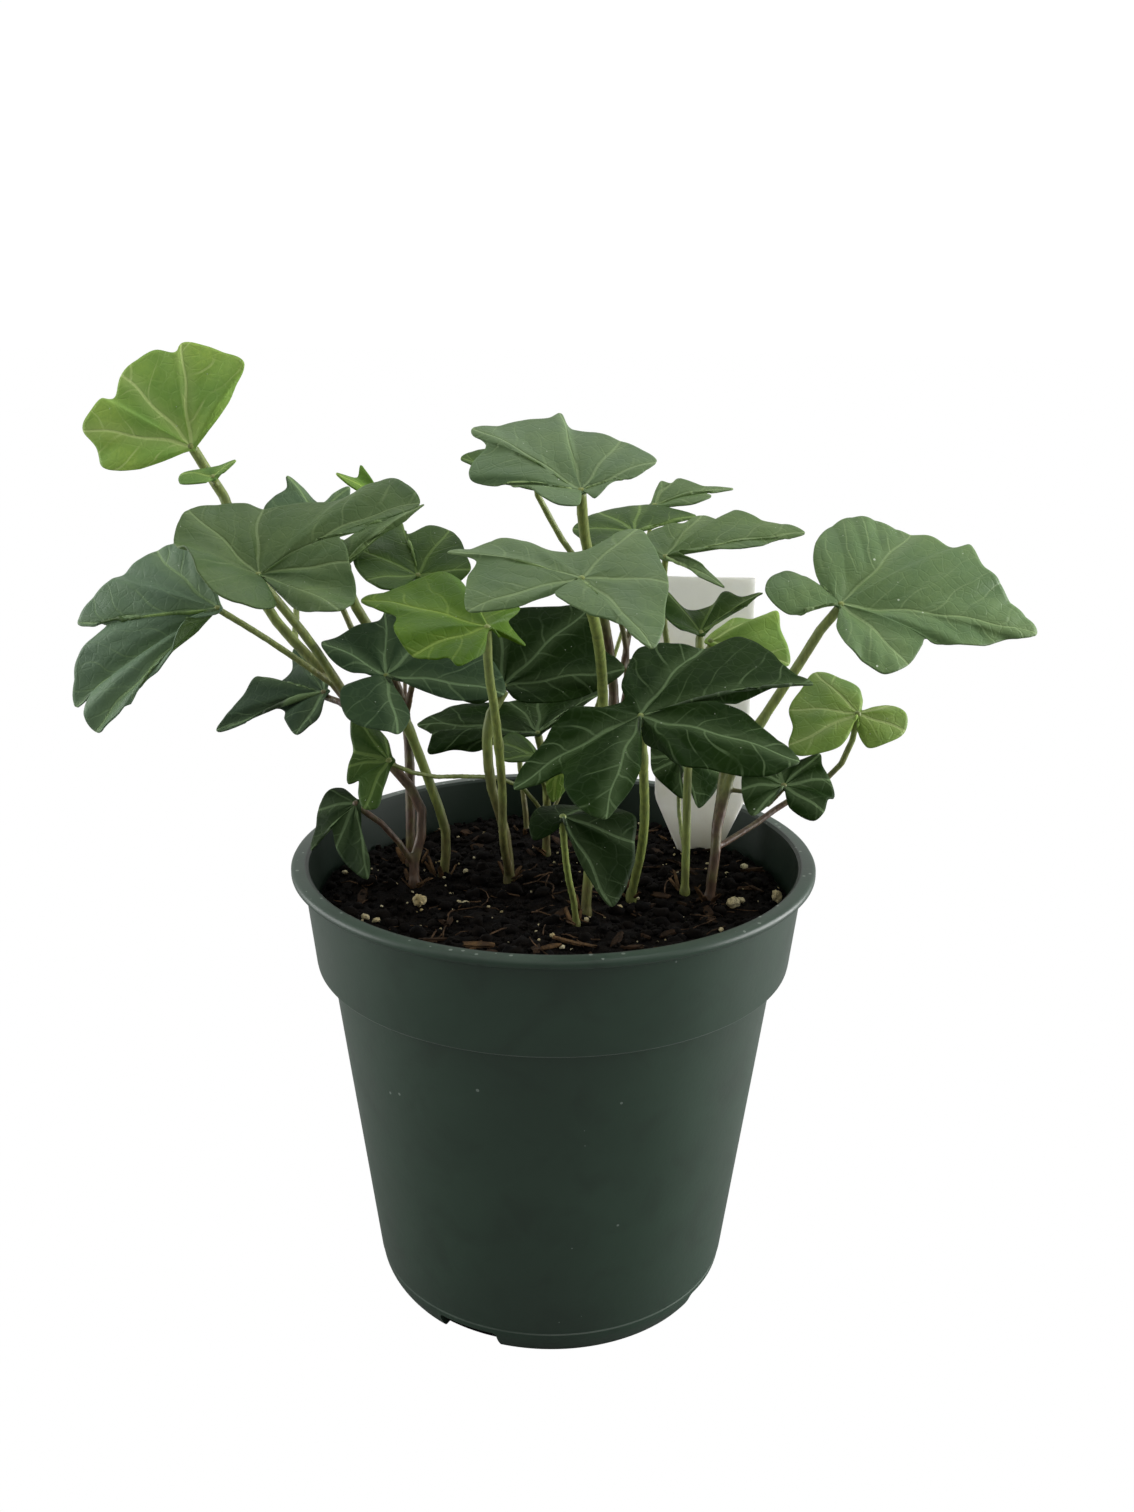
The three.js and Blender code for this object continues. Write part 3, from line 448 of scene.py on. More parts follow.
def vein_masks(tree):
    """Shares of main vein, pale halo, side veins and net, and the flattened blade's places."""
    vein = put(tree, "ShaderNodeAttribute", attribute_name="vein")
    flat = put(tree, "ShaderNodeAttribute", attribute_name="flat")
    parts = put(tree, "ShaderNodeSeparateXYZ", {0: vein.outputs["Vector"]})
    along, across, rim = parts.outputs
    off = put(tree, "ShaderNodeMath", {0: across}, operation="ABSOLUTE")
    inside = put(tree, "ShaderNodeMapRange", {
        "Value": rim, "From Min": 0.6, "From Max": 0.92, "To Min": 1, "To Max": 0,
    })
    width = put(tree, "ShaderNodeMapRange", {
        "Value": along, "From Min": 0, "From Max": 38, "To Min": MAIN_VEIN_WIDTH, "To Max": 0.16,
    })
    ratio = put(tree, "ShaderNodeMath", {0: off.outputs[0], 1: width.outputs[0]}, operation="DIVIDE")
    line = put(tree, "ShaderNodeMapRange", {
        "Value": ratio.outputs[0], "From Min": 0.4, "From Max": 1.25, "To Min": 1, "To Max": 0,
    }, interpolation_type="SMOOTHSTEP")
    main = put(tree, "ShaderNodeMath", {0: line.outputs[0], 1: inside.outputs[0]}, operation="MULTIPLY")
    glow = put(tree, "ShaderNodeMapRange", {
        "Value": off.outputs[0], "From Min": 0, "From Max": 3.2, "To Min": 1, "To Max": 0,
    }, interpolation_type="SMOOTHSTEP")
    halo = put(tree, "ShaderNodeMath", {0: glow.outputs[0], 1: inside.outputs[0]}, operation="MULTIPLY")
    # Side veins leave the main vein at about 45 degrees, in turns on its two sides.
    warp = put(tree, "ShaderNodeTexNoise", {
        "Vector": flat.outputs["Vector"], "Scale": 0.09, "Detail": 1,
    })
    shift = put(tree, "ShaderNodeMath", {0: warp.outputs[0], 1: 9}, operation="MULTIPLY")
    lean = put(tree, "ShaderNodeMath", {
        0: off.outputs[0], 1: -SIDE_VEIN_LEAN, 2: along,
    }, operation="MULTIPLY_ADD")
    moved = put(tree, "ShaderNodeMath", {0: lean.outputs[0], 1: shift.outputs[0]}, operation="ADD")
    side = put(tree, "ShaderNodeMath", {0: across, 1: 0}, operation="GREATER_THAN")
    turn = put(tree, "ShaderNodeMath", {
        0: side.outputs[0], 1: SIDE_VEIN_SPACING / 2, 2: moved.outputs[0],
    }, operation="MULTIPLY_ADD")
    phase = put(tree, "ShaderNodeMath", {
        0: turn.outputs[0], 1: SIDE_VEIN_SPACING / 2,
    }, operation="PINGPONG")
    taper = put(tree, "ShaderNodeMapRange", {
        "Value": rim, "From Min": 0, "From Max": 1, "To Min": SIDE_VEIN_WIDTH, "To Max": 0.1,
    })
    near = put(tree, "ShaderNodeMath", {0: phase.outputs[0], 1: taper.outputs[0]}, operation="DIVIDE")
    rib = put(tree, "ShaderNodeMapRange", {
        "Value": near.outputs[0], "From Min": 0.5, "From Max": 1.9, "To Min": 1, "To Max": 0,
    }, interpolation_type="SMOOTHSTEP")
    fade = put(tree, "ShaderNodeMapRange", {
        "Value": rim, "From Min": 0.1, "From Max": 0.9, "To Min": 1, "To Max": 0.05,
    })
    fork = put(tree, "ShaderNodeTexNoise", {
        "Vector": flat.outputs["Vector"], "Scale": 0.19, "Detail": 1,
    })
    present = put(tree, "ShaderNodeMapRange", {
        "Value": fork.outputs[0], "From Min": 0.34, "From Max": 0.55, "To Min": 0.15, "To Max": 1,
    })
    drawn = put(tree, "ShaderNodeMath", {0: fade.outputs[0], 1: present.outputs[0]}, operation="MULTIPLY")
    sides = put(tree, "ShaderNodeMath", {0: rib.outputs[0], 1: drawn.outputs[0]}, operation="MULTIPLY")
    # The net of finest veins is closer than it can be seen, so it is drawn coarser.
    cells = put(tree, "ShaderNodeTexVoronoi", {
        "Vector": flat.outputs["Vector"], "Scale": 1 / NET_CELL, "Randomness": 1,
    }, feature="DISTANCE_TO_EDGE")
    net = put(tree, "ShaderNodeMapRange", {
        "Value": cells.outputs["Distance"], "From Min": 0.01, "From Max": 0.09, "To Min": 1, "To Max": 0,
    }, interpolation_type="SMOOTHSTEP")
    return main.outputs[0], halo.outputs[0], sides.outputs[0], net.outputs[0], flat.outputs["Vector"]


def blade_material(name, base, vein, strength, roughness, dust, gloss):
    """Upper skin of a blade: waxy green with paler veins, soft mottling and a little dust, scaled per
    blade by a tone that is partly painted light and shade, and with a painted sheen.
    """
    made, tree, shader = new_material(name)
    main, halo, sides, net, flat = vein_masks(tree)
    place = put(tree, "ShaderNodeTexCoord").outputs["Object"]
    # Patches of lighter and darker green about 11 mm wide.
    patch = put(tree, "ShaderNodeTexNoise", {
        "Vector": place, "Scale": 90, "Detail": 4, "Roughness": 0.55,
    })
    mottle = put(tree, "ShaderNodeMapRange", {
        "Value": patch.outputs[0], "From Min": 0.3, "From Max": 0.7,
    })
    body = put(tree, "ShaderNodeMix", {
        0: mottle.outputs[0],
        6: rgba(tinted(base, 0.7, 0.8, 0.8)),
        7: rgba(tinted(base, 1.28, 1.18, 1.16)),
    }, data_type="RGBA")
    speckle = put(tree, "ShaderNodeTexNoise", {
        "Vector": flat, "Scale": 1.1, "Detail": 3, "Roughness": 0.7,
    })
    fleck = put(tree, "ShaderNodeMapRange", {
        "Value": speckle.outputs[0], "From Min": 0.35, "From Max": 0.65, "To Min": 0, "To Max": 0.45,
    })
    flecked = put(tree, "ShaderNodeMix", {
        0: fleck.outputs[0], 6: body.outputs[2], 7: rgba(tinted(base, 0.72, 0.8, 0.8)),
    }, data_type="RGBA")
    # The halo, the net, the side veins and the main veins are laid over each other in turn.
    veined = flecked
    for mask, weight in ((halo, 0.32), (net, 0.06), (sides, 0.55), (main, 0.95)):
        share = put(tree, "ShaderNodeMath", {
            0: mask, 1: weight * strength,
        }, operation="MULTIPLY", use_clamp=True)
        veined = put(tree, "ShaderNodeMix", {
            0: share.outputs[0], 6: veined.outputs[2], 7: rgba(vein),
        }, data_type="RGBA")
    # Dust specks 0.2 to 0.5 mm wide.
    grit = put(tree, "ShaderNodeTexVoronoi", {"Vector": flat, "Scale": 0.42, "Randomness": 1})
    chance = put(tree, "ShaderNodeSeparateColor", {0: grit.outputs["Color"]})
    size = put(tree, "ShaderNodeMapRange", {
        "Value": chance.outputs[0], "From Min": 1 - dust, "From Max": 1, "To Min": 0.04, "To Max": 0.11,
    })
    speck = put(tree, "ShaderNodeMath", {
        0: grit.outputs["Distance"], 1: size.outputs[0],
    }, operation="LESS_THAN")
    dusty = put(tree, "ShaderNodeMath", {0: speck.outputs[0], 1: 0.7}, operation="MULTIPLY")
    final = put(tree, "ShaderNodeMix", {
        0: dusty.outputs[0], 6: veined.outputs[2], 7: rgba(linear("#c9d2bf")),
    }, data_type="RGBA")
    sheen = put(tree, "ShaderNodeMapRange", {
        "Value": patch.outputs[0], "From Min": 0.3, "From Max": 0.7,
        "To Min": roughness - 0.05, "To Max": roughness + 0.07,
    })
    # Main and side veins lie in shallow grooves, and the skin between them is slightly rough.
    groove = put(tree, "ShaderNodeMath", {0: main, 1: -1.0}, operation="MULTIPLY")
    shallow = put(tree, "ShaderNodeMath", {
        0: sides, 1: -0.6, 2: groove.outputs[0],
    }, operation="MULTIPLY_ADD")
    fine = put(tree, "ShaderNodeMath", {
        0: net, 1: -0.35, 2: shallow.outputs[0],
    }, operation="MULTIPLY_ADD")
    skin = put(tree, "ShaderNodeMath", {
        0: speckle.outputs[0], 1: 0.8, 2: fine.outputs[0],
    }, operation="MULTIPLY_ADD")
    bump = put(tree, "ShaderNodeBump", {
        "Height": skin.outputs[0], "Strength": 0.55, "Distance": 0.2 * MM,
    })
    # Painted light and shade: each blade's colour is scaled by its tone, partly its own lightness and
    # partly how the light falls on it.
    tone_and_painted_light = put(tree, "ShaderNodeAttribute", attribute_name="tone_and_painted_light")
    toned_and_lit = put(tree, "ShaderNodeVectorMath", {
        0: final.outputs[2], "Scale": tone_and_painted_light.outputs["Fac"],
    }, operation="SCALE")
    # Painted sheen: a pale grey-green mixed in per blade stands in for the bright room reflected in the
    # waxy skin.
    painted_sheen_share = put(tree, "ShaderNodeAttribute", attribute_name="painted_sheen")
    with_painted_sheen = put(tree, "ShaderNodeMix", {
        0: painted_sheen_share.outputs["Fac"], 6: toned_and_lit.outputs[0], 7: rgba(linear("#8ba095")),
    }, data_type="RGBA")
    tree.links.new(with_painted_sheen.outputs[2], shader.inputs["Base Color"])
    tree.links.new(sheen.outputs[0], shader.inputs["Roughness"])
    tree.links.new(bump.outputs[0], shader.inputs["Normal"])
    shader.inputs["Specular IOR Level"].default_value = gloss
    return made


def underside_material(name, base, vein):
    """Lower skin of a blade: paler and duller than the upper one, with raised veins."""
    made, tree, shader = new_material(name)
    main, _, sides, net, flat = vein_masks(tree)
    speckle = put(tree, "ShaderNodeTexNoise", {"Vector": flat, "Scale": 0.5, "Detail": 4})
    share = put(tree, "ShaderNodeMapRange", {
        "Value": speckle.outputs[0], "From Min": 0.3, "From Max": 0.7,
    })
    body = put(tree, "ShaderNodeMix", {
        0: share.outputs[0], 6: rgba(scaled(base, 0.88)), 7: rgba(scaled(base, 1.12)),
    }, data_type="RGBA")
    veined = body
    for mask, weight in ((sides, 0.4), (main, 0.8)):
        over = put(tree, "ShaderNodeMath", {0: mask, 1: weight}, operation="MULTIPLY")
        veined = put(tree, "ShaderNodeMix", {
            0: over.outputs[0], 6: veined.outputs[2], 7: rgba(vein),
        }, data_type="RGBA")
    ridge = put(tree, "ShaderNodeMath", {0: sides, 1: 0.5, 2: main}, operation="MULTIPLY_ADD")
    raised = put(tree, "ShaderNodeMath", {
        0: net, 1: 0.2, 2: ridge.outputs[0],
    }, operation="MULTIPLY_ADD")
    bump = put(tree, "ShaderNodeBump", {
        "Height": raised.outputs[0], "Strength": 0.6, "Distance": 0.3 * MM,
    })
    tree.links.new(veined.outputs[2], shader.inputs["Base Color"])
    tree.links.new(bump.outputs[0], shader.inputs["Normal"])
    shader.inputs["Roughness"].default_value = 0.55
    return made


# ---- Mesh helpers ----
def finish_piece(name, bm, materials, replaced=(), smooth=True):
    """Turns a bmesh into a piece that rides on the plant's one body."""
    mesh = bpy.data.meshes.new(name)
    for face in bm.faces:
        face.smooth = smooth
    bm.to_mesh(mesh)
    bm.free()
    piece = bpy.data.objects.new(name, mesh)
    bpy.context.scene.collection.objects.link(piece)
    for made in materials:
        mesh.materials.append(made)
    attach(piece, "root")
    if replaced:
        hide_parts(*replaced)
    return piece


def merged_copy(node):
    """A CAD node's mesh as a bmesh with its loose triangles joined."""
    bm = bmesh.new()
    bm.from_mesh(frame["nodes"][node].data)
    bmesh.ops.remove_doubles(bm, verts=bm.verts, dist=MERGE_DISTANCE)
    return bm


def bake_modifiers(piece):
    """Replaces a piece's mesh by what its modifiers make of it."""
    graph = bpy.context.evaluated_depsgraph_get()
    made = bpy.data.meshes.new_from_object(piece.evaluated_get(graph))
    old = piece.data
    name = old.name
    piece.modifiers.clear()
    piece.data = made
    bpy.data.meshes.remove(old)
    made.name = name


def coordinates(mesh):
    """A mesh's vertices as an array."""
    values = np.empty(len(mesh.vertices) * 3)
    mesh.vertices.foreach_get("co", values)
    return values.reshape(-1, 3)


def set_coordinates(mesh, values):
    """Writes an array of places to a mesh's vertices."""
    mesh.vertices.foreach_set("co", values.ravel())
    mesh.update()


def write_attribute(mesh, name, kind, values):
    """Adds a point attribute and fills it."""
    layer = mesh.attributes.new(name, kind, "POINT")
    field = "vector" if kind == "FLOAT_VECTOR" else "value"
    layer.data.foreach_set(field, np.ascontiguousarray(values, np.float32).ravel())


# ---- Pot ----
POT_STEPS = 176  # faces round the pot
SLOT_COUNT = 4
FIRST_SLOT = -117  # degrees from +X, which puts one slot at the lower left of the front
EDGE_ROUNDING = 0.45 * MM  # at the collar's lower edge


def pot_side(settings):
    """The pot's outside from the collar's top down to the underside, as (radius, height)."""
    height = POT_HIGH.z
    collar_top_height = height - settings.lip_height
    collar_top = POT_HIGH.x - settings.lip_overhang
    collar_bottom = collar_top - settings.collar_draft
    body_top = collar_bottom - settings.ledge_depth
    edge = height - settings.collar_height
    line = [(collar_top, collar_top_height)]
    for share in (0.66, 0.33, 0.05):
        line.append((collar_bottom + (collar_top - collar_bottom) * share,
                     edge + (collar_top_height - edge) * share))
    for step in range(5):  # the collar's rounded lower edge
        turn = math.pi / 2 * step / 4
        line.append((collar_bottom - EDGE_ROUNDING * (1 - math.cos(turn)),
                     edge + EDGE_ROUNDING * (1 - math.sin(turn))))
    line.append((body_top + 0.5 * MM, edge - settings.ledge_height))
    line.append((body_top + 0.1 * MM, edge - settings.ledge_height - 0.15 * MM))
    line.append((body_top, edge - settings.ledge_height - 0.6 * MM))
    for share in (0.33, 0.66):
        line.append((body_top + (settings.foot_radius - body_top) * share,
                     edge - 2 * MM + (settings.foot_height - edge + 2 * MM) * share))
    line.append((settings.foot_radius + 0.1 * MM, settings.foot_height + 0.5 * MM))
    for step in range(9):
        share = step / 8
        radius = settings.foot_radius - (settings.foot_radius - settings.base_radius) * share ** 2
        line.append((radius - 0.15 * MM, settings.foot_height * (1 - share) + 0.3 * MM * share))
    line.append((settings.base_radius - 0.7 * MM, 0))
    return line


def build_pot(settings):
    """Spins the pot's section, then cuts the drain slots."""
    side = pot_side(settings)
    height, lip = POT_HIGH.z, POT_HIGH.x
    under = height - settings.lip_height
    roll = [
        (lip - 0.9 * MM, under), (lip - 0.35 * MM, under + 0.15 * MM), (lip, under + 0.6 * MM),
        (lip, height - 0.75 * MM), (lip - 0.3 * MM, height - 0.25 * MM), (lip - 0.9 * MM, height),
        (side[0][0] - settings.wall + 0.6 * MM, height), (side[0][0] - settings.wall, height - 0.5 * MM),
    ]
    ledge = height - settings.collar_height - settings.ledge_height - 1 * MM
    inside = [
        (radius - settings.wall, z + (settings.wall if z > ledge else 0))
        for radius, z in side[1:] if z > settings.floor
    ]
    inside.append((inside[-1][0] - 0.8 * MM, settings.floor))
    section = [(0, 0), *reversed(side), *roll, *inside, (0, settings.floor)]
    bm = bmesh.new()
    points = [bm.verts.new((radius, 0, z)) for radius, z in section]
    edges = [bm.edges.new(pair) for pair in zip(points, points[1:])]
    bmesh.ops.spin(bm, geom=points + edges, cent=(0, 0, 0), axis=(0, 0, 1), angle=math.tau,
                   steps=POT_STEPS, use_merge=True)
    bmesh.ops.remove_doubles(bm, verts=bm.verts, dist=MERGE_DISTANCE)
    bmesh.ops.recalc_face_normals(bm, faces=bm.faces)
    pot = finish_piece("nursery_pot", bm, [pot_material(settings)], ["pot"])
    cutter = bmesh.new()
    slot = (settings.slot_reach * 2, settings.slot_width, settings.slot_height * 2)
    for _ in range(SLOT_COUNT):
        made = bmesh.ops.create_cube(cutter, size=1)["verts"]
        bmesh.ops.scale(cutter, verts=made, vec=slot)
        rim_edges = list({e for v in made for e in v.link_edges})
        bmesh.ops.bevel(cutter, geom=rim_edges, offset=0.8 * MM, segments=3, profile=0.5,
                        affect="EDGES", material=-1)
    spread_slots(cutter, settings.base_radius)
    mesh = bpy.data.meshes.new("slot_cutter")
    cutter.to_mesh(mesh)
    cutter.free()
    tool = bpy.data.objects.new("slot_cutter", mesh)
    bpy.context.scene.collection.objects.link(tool)
    cut = pot.modifiers.new("slots", "BOOLEAN")
    cut.object, cut.operation, cut.solver = tool, "DIFFERENCE", "EXACT"
    bake_modifiers(pot)
    bpy.data.objects.remove(tool)
    bpy.data.meshes.remove(mesh)
    pot.data.set_sharp_from_angle(angle=math.radians(38))


def spread_slots(bm, radius):
    """Moves each separate block of the slot cutter out to its own quarter of the base edge."""
    bm.verts.index_update()
    left = set(bm.verts)
    index = 0
    while left:
        block, queue = set(), [min(left, key=lambda v: v.index)]
        while queue:
            vert = queue.pop()
            if vert in block:
                continue
            block.add(vert)
            queue.extend(e.other_vert(vert) for e in vert.link_edges)
        left -= block
        heading = math.radians(FIRST_SLOT + 360 / SLOT_COUNT * index)
        turn = Matrix.Rotation(heading, 4, "Z") @ Matrix.Translation((radius, 0, 0))
        bmesh.ops.transform(bm, matrix=turn, verts=list(block))
        index += 1


# ---- Soil ----
SOIL_RINGS = 84
SOIL_STEPS = 220
WALL_CLEARANCE = 0.15 * MM  # between the bed and the pot's wall


def wall_radius(height, settings):
    """Inner radius of the pot at a height."""
    side = pot_side(settings)
    for (upper, top), (lower, bottom) in zip(side, side[1:]):
        if top >= height >= bottom:
            share = (top - height) / max(top - bottom, 1e-9)
            return upper + share * (lower - upper) - settings.wall
    return settings.base_radius - settings.wall


def ground(x, y, heave, limit):
    """Height of the soil's surface at a point."""
    spot = Vector((x, y, 0)) / MM
    hump = noise.noise(spot * 0.045 + Vector((7, 3, 1))) * 1.0
    lump = noise.noise(spot * 0.16 + Vector((1, 9, 4))) * 0.6
    crumb = noise.noise(spot * 0.55 + Vector((4, 2, 8))) * 0.35
    grain = noise.noise(spot * 1.4 + Vector((3, 5, 2))) * 0.16
    away = max(0.0, 1 - (limit - math.hypot(x, y)) / (7 * MM))
    return SOIL_TOP + heave * (hump + lump + crumb + grain) - away * away * 1.5 * MM


def build_soil(settings, pot):
    """The bed of potting mix, filling the pot, with a rough surface."""
    limit = wall_radius(SOIL_TOP, pot) - WALL_CLEARANCE
    bm = bmesh.new()
    low = pot.floor + 0.2 * MM
    wall = [(0, low), (wall_radius(low + 1 * MM, pot) - 0.3 * MM, low)]
    for step in range(1, 16):
        z = low + (SOIL_TOP - 4 * MM - low) * step / 15
        wall.append((wall_radius(z, pot) - WALL_CLEARANCE, z))
    top = [(limit * (1 - step / SOIL_RINGS), SOIL_TOP) for step in range(SOIL_RINGS + 1)]
    points = [bm.verts.new((radius, 0, z)) for radius, z in wall + top]
    edges = [bm.edges.new(pair) for pair in zip(points, points[1:])]
    bmesh.ops.spin(bm, geom=points + edges, cent=(0, 0, 0), axis=(0, 0, 1), angle=math.tau,
                   steps=SOIL_STEPS, use_merge=True)
    bmesh.ops.remove_doubles(bm, verts=bm.verts, dist=MERGE_DISTANCE)
    bmesh.ops.recalc_face_normals(bm, faces=bm.faces)
    for vert in bm.verts:
        if vert.co.z > SOIL_TOP - 1 * MM:
            vert.co.z = ground(vert.co.x, vert.co.y, settings.heave, limit)
    peat = grain_material("peat_mix", settings.peat, scaled(settings.bark, 0.1), 2.2, 0.95, 0.5)
    finish_piece("soil_bed", bm, [peat], ["soil"])


def scatter(dice, settings, pot, margin):
    """A random place on the soil, with the surface's height there."""
    limit = wall_radius(SOIL_TOP, pot) - margin
    radius, turn = limit * math.sqrt(dice.random()), dice.uniform(0, math.tau)
    x, y = radius * math.cos(turn), radius * math.sin(turn)
    return Vector((x, y, ground(x, y, settings.heave, limit + margin)))


def tumbled(heading, tilt, axis):
    """A turn that tilts a loose grain or chip about its own axis, then heads it."""
    return Matrix.Rotation(heading, 3, "Z") @ Matrix.Rotation(tilt, 3, axis)


def lump(bm, dice, place, size, detail, flat=0.8, rough=0.3):
    """Adds one irregular grain: an icosphere with its points moved."""
    made = bmesh.ops.create_icosphere(bm, subdivisions=detail, radius=size / 2)["verts"]
    offset = Vector((dice.uniform(-99, 99), dice.uniform(-99, 99), 0))
    stretch = (dice.uniform(0.75, 1.25), dice.uniform(0.75, 1.25), dice.uniform(flat - 0.2, flat + 0.1))
    shape = Matrix.Diagonal(stretch)
    turn = tumbled(dice.uniform(0, math.tau), dice.uniform(-0.5, 0.5), "X")
    for vert in made:
        push = 1 + rough * noise.noise(vert.co / size * 3.1 + offset)
        vert.co = turn @ (shape @ (vert.co * push)) + place


def sliver(bm, dice, place, size, turn):
    """Adds one flat chip with uneven, narrowed ends."""
    first_vert, first_edge = len(bm.verts), len(bm.edges)
    bmesh.ops.create_cube(bm, size=1)
    roll = turn @ Matrix.Rotation(dice.uniform(-0.5, 0.5), 3, "X")
    bm.edges.ensure_lookup_table()
    bmesh.ops.subdivide_edges(bm, edges=bm.edges[first_edge:], cuts=1, use_grid_fill=True)
    bm.verts.ensure_lookup_table()
    for vert in bm.verts[first_vert:]:
        jitter = Vector([dice.uniform(-0.12, 0.12) for _ in range(3)])
        point = vert.co + jitter
        point.y *= 1 - 0.5 * abs(point.x)
        local = Vector((point.x * size[0], point.y * size[1], point.z * size[2]))
        vert.co = roll @ local + place


def build_crumbs(settings, pot):
    """Peat crumbs, bark chips, fibres and perlite lying on the bed."""
    dice = random.Random(41)
    limit = wall_radius(SOIL_TOP, pot)
    peat = grain_material("peat_crumbs", settings.peat, scaled(settings.bark, 0.09), 3.4, 0.95, 0.35)
    bm = bmesh.new()
    for _ in range(settings.crumbs):
        size = dice.choice((0.8, 1, 1.2, 1.6, 2.1)) * MM * dice.uniform(0.7, 1.2)
        place = scatter(dice, settings, pot, size * 0.7)
        lump(bm, dice, place + Vector((0, 0, size * dice.uniform(0, 0.3))), size, 1)
    finish_piece("peat_crumbs", bm, [peat], smooth=False)
    bm = bmesh.new()
    for _ in range(settings.lumps):
        size = dice.uniform(2.2, 4.2) * MM
        place = scatter(dice, settings, pot, size * 0.7)
        lump(bm, dice, place + Vector((0, 0, size * 0.05)), size, 2, rough=0.5)
    finish_piece("peat_lumps", bm, [peat])

    bark = grain_material("pine_bark", scaled(settings.bark, 0.25),
                          tinted(settings.bark, 0.8, 0.7, 0.6), 3.1, 0.85, 0.3)
    bm = bmesh.new()
    for index in range(settings.chips):
        long = dice.uniform(2.5, 7.5) * MM
        place = scatter(dice, settings, pot, long * 0.6 + 1 * MM)
        if index % 4 == 0:  # more of the bark lies at the front
            x, y = dice.uniform(-16, 24) * MM, dice.uniform(-43, -34) * MM
            place = Vector((x, y, ground(x, y, settings.heave, limit)))
        size = (long, dice.uniform(0.8, 2.2) * MM, dice.uniform(0.35, 0.8) * MM)
        turn = tumbled(dice.uniform(0, math.tau), dice.uniform(-0.35, 0.35), "Y")
        sliver(bm, dice, place + Vector((0, 0, 0.5 * MM)), size, turn)
    finish_piece("bark_chips", bm, [bark], smooth=False)

    straw = grain_material("dry_scales", scaled(settings.bark, 0.8),
                           tinted(settings.bark, 2.3, 2.1, 1.5), 1.6, 0.8, 0.2)
    bm = bmesh.new()
    for node in STEM_NODES:  # dry scales stand round the feet of the stems
        low = [v.co for v in frame["nodes"][node].data.vertices if v.co.z < STEM_FOOT_TOP]
        foot = sum(low, Vector()) / len(low)
        for _ in range(4):
            heading, lean = dice.uniform(0, math.tau), dice.uniform(0.5, 1.25)
            size = [dice.uniform(*ends) * MM for ends in ((2.5, 6), (0.6, 1.4), (0.2, 0.35))]
            away = Vector((math.cos(heading), math.sin(heading), 0)) * dice.uniform(1.6, 2.8) * MM
            place = Vector((foot.x, foot.y, SOIL_TOP + size[0] * 0.35)) + away
            turn = tumbled(heading, -lean, "Y")
            sliver(bm, dice, place, size, turn)
    for _ in range(9):  # torn strips of bark at the front
        x, y = dice.uniform(-18, 26) * MM, dice.uniform(-42, -30) * MM
        size = [dice.uniform(*ends) * MM for ends in ((4, 9), (0.7, 1.5), (0.25, 0.5))]
        turn = tumbled(dice.uniform(-0.7, 0.7), dice.uniform(-0.2, 0.2), "Y")
        place = Vector((x, y, ground(x, y, settings.heave, limit) + 1.1 * MM))
        sliver(bm, dice, place, size, turn)
    finish_piece("dry_scales", bm, [straw], smooth=False)

    fibre = grain_material("root_fibre", scaled(settings.bark, 0.4),
                           tinted(settings.bark, 2.1, 2.0, 1.9), 2, 0.8, 0.2)
    bm = bmesh.new()
    for _ in range(settings.fibres):
        place = scatter(dice, settings, pot, 3 * MM)
        heading = math.atan2(-place.y, -place.x) + dice.uniform(-1.2, 1.2)
        bend = dice.uniform(-0.7, 0.7)
        thick = dice.uniform(0.1, 0.24) * MM
        step = dice.uniform(0.9, 2.2) * MM
        ring = bmesh.ops.create_circle(bm, segments=4, radius=thick)["verts"]
        facing = tumbled(heading, math.pi / 2, "Y")
        point = place + Vector((0, 0, dice.uniform(0.2, 0.9) * MM))
        for vert in ring:
            vert.co = facing @ vert.co + point
        bm.edges.ensure_lookup_table()
        edges = bm.edges[-4:]
        for _ in range(5):
            grown = bmesh.ops.extrude_edge_only(bm, edges=edges)["geom"]
            edges = [g for g in grown if isinstance(g, bmesh.types.BMEdge)]
            verts = [g for g in grown if isinstance(g, bmesh.types.BMVert)]
            move = Vector((math.cos(heading), math.sin(heading), dice.uniform(-0.25, 0.25))) * step
            heading += bend * dice.uniform(0.3, 1)
            bmesh.ops.translate(bm, verts=verts, vec=move)
    bmesh.ops.holes_fill(bm, edges=[e for e in bm.edges if e.is_boundary], sides=4)
    bmesh.ops.recalc_face_normals(bm, faces=bm.faces)
    finish_piece("root_fibres", bm, [fibre])

    perlite = perlite_material(settings)
    bm = bmesh.new()
    for index in range(settings.specks):
        size = (dice.uniform(0.35, 0.9) if index % 12 else dice.uniform(1.1, 1.7)) * MM
        place = scatter(dice, settings, pot, size)
        lump(bm, dice, place + Vector((0, 0, size * 0.45)), size, 1 if index % 12 else 2, rough=0.35)
    finish_piece("perlite_specks", bm, [perlite])
    for node in GRIT_NODES:
        low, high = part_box(node)
        bm = bmesh.new()
        lump(bm, dice, (low + high) / 2, (high.x - low.x) * 0.98, 5, flat=0.95, rough=0.35)
        for vert in bm.verts:
            pit = noise.noise(vert.co / MM * 1.9) * 0.14 + noise.noise(vert.co / MM * 5) * 0.05
            vert.co += (vert.co - (low + high) / 2).normalized() * pit * MM
            vert.co.z -= 0.7 * MM
        finish_piece(node.replace("grit", "perlite"), bm, [perlite], [node])


